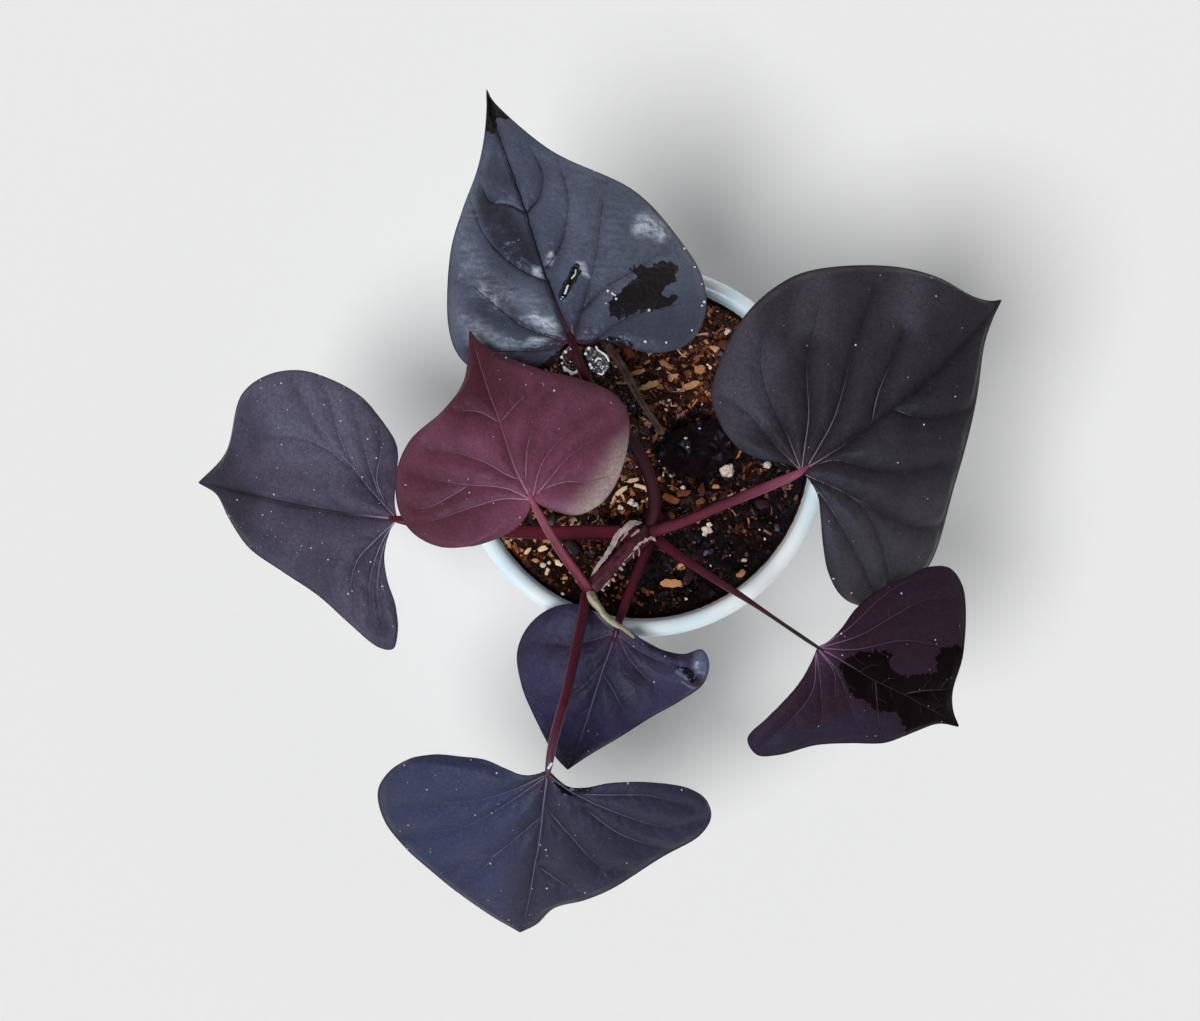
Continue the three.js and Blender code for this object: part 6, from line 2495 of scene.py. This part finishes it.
@dataclass(frozen=True)
class DrySkin:
    """Dry skin on the stem: bark that peels away beside it, and a torn ridge with root nubs on its top."""

    bark: tuple[Ribbon, ...] = (
        Ribbon((
            (-0.4, -21.6, 99), (-3.3, -21.9, 101), (-4.9, -23.2, 101.8), (-7.3, -25.1, 102.4),
            (-9.2, -28.6, 103), (-11.2, -31.6, 103.4), (-13.2, -34.2, 103.6), (-15.5, -37.6, 104),
        ), (2.3, 0.9), curl=0.3, seed=1.0, tear=0.35, buckle=0.2),
        Ribbon(
            ((-0.9, -23.7, 100.2), (-2.0, -24.4, 101), (-3.5, -25.8, 101.3)),
            (1.0, 0.5), curl=0.2, seed=3.0,
        ),
        Ribbon(
            ((-4.2, -22.5, 101.4), (-5.0, -25.0, 101.8), (-6.8, -27.2, 102)),
            (0.9, 0.4), curl=0.2, seed=4.0,
        ),
    )
    ridge: tuple[Ribbon, ...] = (
        Ribbon((
            (4.1, -25.7, 98.6), (2, -26.3, 100.4), (-0.6, -27.6, 101.4), (-3.3, -30.4, 101.9),
            (-5.6, -33.0, 102.3),
        ), (0.9, 0.7), curl=0.2, seed=5.0, tear=0.9, buckle=0.3),
        Ribbon(
            ((-1.6, -28.6, 101.6), (-1.0, -30.2, 101.4), (-1.2, -31.6, 101)),
            (0.6, 0.3), curl=0.2, seed=6.0,
        ),
        Ribbon(((-3.0, -30.6, 101.8), (-2.6, -32.2, 101.4)), (0.5, 0.3), curl=0.2, seed=7.0),
        Ribbon(
            ((-9.8, -38.4, 102.6), (-11.4, -40.2, 102.8), (-14.4, -42.2, 103.4)),
            (0.8, 0.4), curl=0.2, seed=8.0, tear=1.1,
        ),
    )
    nubs: Route = (
        (3.4, -26.4, 99.6, 0.7), (-5.8, -33.6, 102.2, 0.6), (-6.6, -35.0, 102.3, 0.75),
        (-8.2, -36.8, 102.3, 0.5), (-8.9, -38.3, 102.2, 0.7), (-10.2, -39.9, 102.4, 0.5),
        (-12.0, -41.3, 102.8, 0.6),
    )  # as (x, y, z, radius)
    nub_way: Point = (0.62, -0.62, 0.35)  # which way a nub points
    nub_pull: float = 0.9  # how far it is drawn out that way
    nub_size: float = 0.75

    def build(self) -> list[Object]:
        """Makes the bark and the ridge.

        Returns:
            The two pieces.
        """
        bark, ridge = Heap(), Heap()
        for ribbon in self.bark:
            ribbon.add_to(bark)
        for ribbon in self.ridge:
            ribbon.add_to(ridge)
        unit, faces = ball(3)
        pull = unit + self.nub_pull * np.maximum(unit @ self.nub_way, 0)[:, None] * self.nub_way
        for k, (*spot, size) in enumerate(self.nubs):
            shape = pull * (1 + 0.4 * clouds(unit + k * 7, 0.8)[:, None]) * size * self.nub_size
            ridge.add(shape + spot, faces, along=shape[:, 0], around=shape[:, 1])
        dry = DryTissue("peeling_bark", pale="#bdaeae", dark="#7d6d6c", width=0.5, streaks=9, relief=0.5)
        torn = DryTissue("dry_root_stub", pale="#d3c2bf", dark="#8b6c6d", roughness=0.7, relief=0.4)
        return [
            place(bark.mesh("peeling_bark"), "bark", "bark_strip", finish=dry),
            place(ridge.mesh("root_nubs", 180), "stem", finish=torn),
        ]


# ------------------------ wilted leaf


@dataclass(frozen=True)
class WiltedLeaf:
    """A dead leaf that has collapsed on the mix: soaked, slack and almost black."""

    mix: PottingMix
    hub: Point = (7, 4)
    heading: float = -8
    midrib: Route = ((7, 0.5), (14, -0.5), (21, 0))
    left: Half = Half(((-0.5, 1.5), (2, 2.5)), ((7, 5), (15, 9), (18, 5.5)), 0)
    right: Half = Half(((-0.5, -2), (-0.5, -6.5)), ((4, -10.5), (10, -11), (15, -8.5), (19.5, -5)), 0)
    lift: float = 1.6
    half_thickness: float = 0.22
    wrinkle: float = 0.8
    ragged: float = 1.5  # how far its margin wanders, in millimetres
    beads: Route = ((17.6, 7.0, 0.45), (13.3, 4.0, 0.6), (13.9, 1.3, 0.5))  # white beads that are painted glints of water, as (x, y, radius)

    def height(self, x: np.ndarray, y: np.ndarray) -> np.ndarray:
        """Height of the slack blade's middle over a place."""
        # Heights in millimetres, and waves in radians for each millimetre.
        folds = np.abs(np.sin(0.42 * x - 0.24 * y)) + 0.4 * np.abs(np.sin(0.5 * y + 0.2 * x))
        flat = np.stack([x, y], axis=-1)
        slack = 0.9 - 1.8 * np.abs(clouds(flat, 8.0)) - 0.7 * np.abs(clouds(flat, 3.0))
        return self.mix.height(x, y) + self.lift + self.wrinkle * folds + slack

    def build(self) -> list[Object]:
        """Makes the slack blade and the white beads on it, which are painted glints of water.

        Returns:
            The leaf and the beads.
        """
        blade = Blade(
            "wilted", SLATE, SLATE_VEIN, hub=(*self.hub, 0), heading=self.heading, midrib=self.midrib,
            left=self.left, right=self.right, reach=10, rise=0, sag=0, back=0, fold=0, ripple=(0, 0),
            veins=(((0, 0), *self.midrib),), grid_step=(0.22, 0.22),
        )
        plan = blade.plan
        flat = blade.turned(plan)
        flat = flat + self.ragged * np.stack([clouds(flat, 2.8, 2), clouds(flat + 30, 2.8, 2)], axis=-1)
        grid = np.concatenate([flat, self.height(flat[..., 0], flat[..., 1])[..., None]], axis=-1)
        normal = blade.normals(grid)
        width, rows = plan.shape[1], blade.rows
        out = self.half_thickness * normal
        vertices = np.concatenate([blade.packed(grid + out), blade.packed(grid - out)])
        first = rows * width + 1
        faces = blade.faces(rows, width) + [face[::-1] for face in blade.faces(rows, width, first)]
        loop = blade.ring(rows, width)
        for a, b in zip(loop, loop[1:] + loop[:1]):
            faces.append((first + a, first + b, b, a))
        own = blade.packed(plan)
        marks = {"along": np.tile(own[:, 0], 2), "around": np.tile(own[:, 1], 2)}
        leaf = new_mesh("rotted_blade", vertices, faces, marks, 60)
        skin = DryTissue(
            "rotted_leaf", pale="#1a0c12", dark="#070203", roughness=0.5, specular=0.12, wetness=0.05,
            streaks=2, width=2.4, relief=0.15,
        )
        heap = Heap()
        unit, faces = ball(2)
        for x, y, size in self.beads:
            top = float(self.height(np.array(x), np.array(y))) + 0.3
            heap.add(unit * (size, 0.6 * size, 0.5 * size) + (x, y, top), faces)
        return [
            place(leaf, "wilted", "wilted_leaf", finish=skin),
            place(heap.mesh("glint_beads_on_rotted_blade"), "wilted", finish=Froth("white_froth_and_glints")),
        ]


# ------------------------ camera, light and floor


@dataclass(frozen=True)
class Studio:
    """A pale floor, a large soft lamp, a window lamp that shows only in glossy reflections, a sky that is
    dark overhead and bright near the horizon, and the camera that looks straight down.
    """

    camera: Point = (-12.7, -17.95, 645)
    lens: float = 55
    sensor: float = 36  # its width in millimetres
    clip: Pair = (0.01, 50)  # nearest and farthest that the camera sees, in metres
    lamp_from: Point = (-0.36, -0.27, 1.0)
    lamp_size: float = 28  # degrees across
    lamp_strength: float = 2.45
    window_from: Point = (-0.25, -0.8, 1.0)
    window_size: float = 24
    window_strength: float = 2.6
    window_colour: str = "#c4d8ff"
    zenith: float = 0.1  # the sky is dark overhead and bright near the horizon
    horizon: float = 0.7
    floor_size: float = 6000

    @staticmethod
    def lamp(name: str, source: Point, size: float, strength: float) -> Object:
        """Makes a soft distant lamp.

        Args:
            name: The lamp's name.
            source: The direction that its light comes from.
            size: How wide it looks, in degrees.
            strength: Its strength as a sun.

        Returns:
            The lamp.
        """
        light = bpy.data.lights.new(name, "SUN")
        light.energy, light.angle = strength, math.radians(size)
        lamp = bpy.data.objects.new(name, light)
        lamp.rotation_euler = Vector(source).to_track_quat("Z", "Y").to_euler()
        bpy.context.scene.collection.objects.link(lamp)
        return lamp

    def build(self) -> None:
        """Makes the floor, the two lamps, the sky and the camera."""
        scene = bpy.context.scene
        scene.view_settings.view_transform = "Standard"
        data = bpy.data.cameras.new("camera")
        data.lens, data.sensor_width = self.lens, self.sensor
        data.clip_start, data.clip_end = self.clip
        camera = bpy.data.objects.new("camera", data)
        camera.location = Vector(self.camera) * MM
        scene.collection.objects.link(camera)
        scene.camera = camera
        lamp = self.lamp("soft_lamp", self.lamp_from, self.lamp_size, self.lamp_strength)
        lamp.visible_glossy = False
        window = self.lamp("window", self.window_from, self.window_size, self.window_strength)
        window.visible_diffuse = False
        window.data.color = linear(self.window_colour)[:3]
        world = bpy.data.worlds.new("soft_sky")
        world.use_nodes = True
        world.node_tree.nodes.clear()
        add = partial(add_node, world.node_tree)
        way = add("ShaderNodeTexCoord").outputs["Generated"]
        height = add("ShaderNodeSeparateXYZ", {0: way}).outputs["Z"]
        glow = add("ShaderNodeMapRange", {0: height, 1: 0.0, 2: 1.0, 3: self.horizon, 4: self.zenith})
        sky = add("ShaderNodeBackground", {"Color": linear("#ffffff"), "Strength": glow})
        add("ShaderNodeOutputWorld", {"Surface": sky})
        scene.world = world
        half = self.floor_size / 2
        corners = np.array([(-half, -half, 0), (half, -half, 0), (half, half, 0), (-half, half, 0)], float)
        floor = new_mesh("paper_floor", corners, [(0, 1, 2, 3)])
        floor.data.materials.append(StudioPaper("studio_paper").material())


# ------------------------ what lies on the leaves


@dataclass(frozen=True)
class LeafSpecks:
    """Tiny pale beads that dot every blade."""

    blades: tuple[Blade, ...]

    def build(self) -> Object:
        """Strews the beads over the upper faces.

        Returns:
            The beads.
        """
        heap = Heap()
        for blade in self.blades:
            heap.add(*blade.face(), free=blade.specks)
        host = heap.mesh("host", closed=False)
        speck = Speck("dried_sap_bead")
        beads = Strewing("leaf_specks", Grain.BEAD, speck, density=1.0, smallest=0.22, largest=0.75, seed=31)
        return beads.strew(host, "leaf_dark")


@dataclass(frozen=True)
class Wet:
    """Balls of water that have run together."""

    name: str
    finish: Finish
    balls: Route  # as (x, y, z, radius), or as (along, left, radius) on the blade
    flatten: float = 0.62  # height of a ball over its width
    voxel: float = 0.13
    tension: tuple[float, int] = (0.5, 4)  # how strongly and how often the surface is smoothed

    def build(self, blade: Blade) -> Object:
        """Melts the balls into one surface, as surface tension does.

        Args:
            blade: The blade that the water lies on.

        Returns:
            The piece.
        """
        heap = Heap()
        unit, faces = ball(3)
        for *spot, size in self.balls:
            if len(spot) == 3:
                spots = [np.array(spot)]
            else:
                spots = [top for top, _ in blade.on_top(np.array([spot]))]
            for centre in spots:
                heap.add(unit * (size, size, size * self.flatten) + centre, faces)
        piece = heap.mesh(self.name)
        remesh = piece.modifiers.new("melt", "REMESH")
        remesh.mode, remesh.voxel_size, remesh.use_smooth_shade = "VOXEL", self.voxel * MM, True
        tension = piece.modifiers.new("tension", "SMOOTH")
        tension.factor, tension.iterations = self.tension
        settle(piece)
        return place(piece, "leaf_dark", finish=self.finish)


def strand(radius: float, *route: Point) -> Route:
    """Balls in a row along a route, close enough to run together.

    Args:
        radius: Their radius in millimetres.
        *route: Points of the route.

    Returns:
        The balls, each as its place and the radius.
    """
    curve = Spline(route)
    spots = curve.at(np.linspace(0, 1, 2 + int(curve.length / radius)))[:, : len(route[0])]
    return tuple((*spot, radius) for spot in spots.tolist())


# Foam in the notch of the blade at the back, on both sides of its stalk, and drops on the blade. Some of the
# white froth is painted highlight: on the long drop, on beads of water, along the back stalk and at the end
# of the front stalk.
WATER = (
    Wet(
        "wine_water",
        Water("water_over_wine_stalk", colour="#2b0b10", pale="#120608"),
        (
            (-20.8, 24.6, 129.7, 2.3), (-21.6, 25.8, 129.9, 1.7), (-20.2, 23.2, 129.6, 1.7),
            (-20.6, 27.0, 130, 1.4),
        ),
        flatten=0.8,
    ),
    Wet(
        "grey_water",
        Water("water_over_grey_blade", colour="#2a2b2f", pale="#85898f"),
        (
            (-13.0, 24.0, 129.4, 2.3), (-12.0, 22.6, 129.2, 1.9), (-14.6, 25.2, 129.4, 1.9),
            (-14.2, 22.4, 129.2, 1.6), (-11.4, 24.8, 129.2, 1.4), (-15.6, 26.8, 129.5, 1.3),
        ),
        flatten=0.8,
    ),
    Wet(
        "lens_on_blade",
        Water("water_over_wet_blade", colour="#070608", pale="#070608"),
        (
            *strand(1.3, (18.6, -7.2), (16.4, -5.4), (14.6, -3.6), (13.2, -2.0)),
            (19.4, -8.0, 0.9), (12.6, -1.2, 0.9), (1.5, -23.7, 0.9),
        ),
        flatten=0.4,
    ),
    Wet(
        "foam_and_glint_by_stalk",
        Froth("white_froth_and_glints"),
        (
            (-22.3, 26.5, 131.0, 0.5), (-23.4, 25.1, 130.4, 0.5), (-20.8, 27.3, 131.2, 0.4),
            *strand(
                0.45, (-22.8, 22.3, 130.2), (-21.4, 21.2, 130.2), (-20.0, 20.7, 130.2), (-18.8, 21.4, 130.4),
            ),
            (-22.4, 21.6, 130.2, 0.6), (-20.6, 20.6, 130.1, 0.65), (-18.7, 22.4, 130.6, 0.5),
            (-23.3, 23.4, 130, 0.4), (-15.8, 27.5, 131.0, 0.55), (-16.7, 26.0, 130.9, 0.5),
            *strand(
                0.32, (-13.8, 28.0, 130.6), (-13.3, 27.1, 130.8), (-12.1, 26.3, 130.8), (-10.8, 25.2, 130.5),
                (-10.2, 24.0, 130.2),
            ),
            *strand(0.3, (-14.0, 24.0, 131.2), (-13.2, 24.7, 131.3), (-12.4, 24.5, 131.1)),
            *strand(0.3, (-13.2, 20.6, 130.2), (-12.1, 20.3, 130.2), (-11.6, 21.2, 130.4)),
            # A painted highlight along the back stalk.
            *strand(0.26, (-17.1, 20.0, 130.4), (-17.1, 18.4, 130.1)),
            (-15.5, 23.0, 130.9, 0.5), (-15.0, 22.1, 130.7, 0.45), (-11.9, 22.4, 130.7, 0.35),
            (-10.8, 22.6, 130.3, 0.3),
        ),
        flatten=0.8,
    ),
    Wet(
        "froth_and_glints_on_blade",
        Froth("white_froth_and_glints"),
        (
            # Painted highlights on the long drop.
            *strand(0.42, (14.9, -3.9), (14.1, -3.2), (13.3, -2.6)),
            *strand(0.36, (18.4, -7.4), (17.4, -6.9), (16.5, -5.6)),
            # White beads: painted highlights of water beads on the blade.
            (10.1, -14.1, 0.5),
            *strand(0.28, (9.2, -14.9), (8.2, -15.6)),
            (7.2, -15.5, 0.45), (1.5, -23.4, 0.5), (-6.7, -19.4, 0.5), (-8.7, -25.0, 0.4),
            (15.8, -39.3, 0.4), (9.8, -40.3, 0.4), (-0.7, -39.5, 0.5), (-1.6, -38.5, 0.4), (6.9, -12.4, 0.3),
            (9.0, -15.0, 0.35), (4.5, -40.6, 0.3), (-7.6, -33.2, 0.35),
            # A painted glint on the end of the front stalk.
            *strand(0.4, (-26.5, -90.0, 122.5), (-27.4, -91.4, 122.2)),
        ),
        flatten=1.9,
    ),
)


def main() -> None:
    """Builds the studio and the plant, piece by piece."""
    logging.basicConfig(level=logging.INFO, format="%(message)s")
    Studio().build()
    Pot().build()
    mix = PottingMix()
    mix.build()
    for stalk in STALKS:
        stalk.build()
    DrySkin().build()
    for blade in BLADES:
        blade.build()
    WiltedLeaf(mix).build()
    LeafSpecks(BLADES).build()
    for water in WATER:
        water.build(LEAVES["back"])
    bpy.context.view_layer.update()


if __name__ == "__main__":
    main()
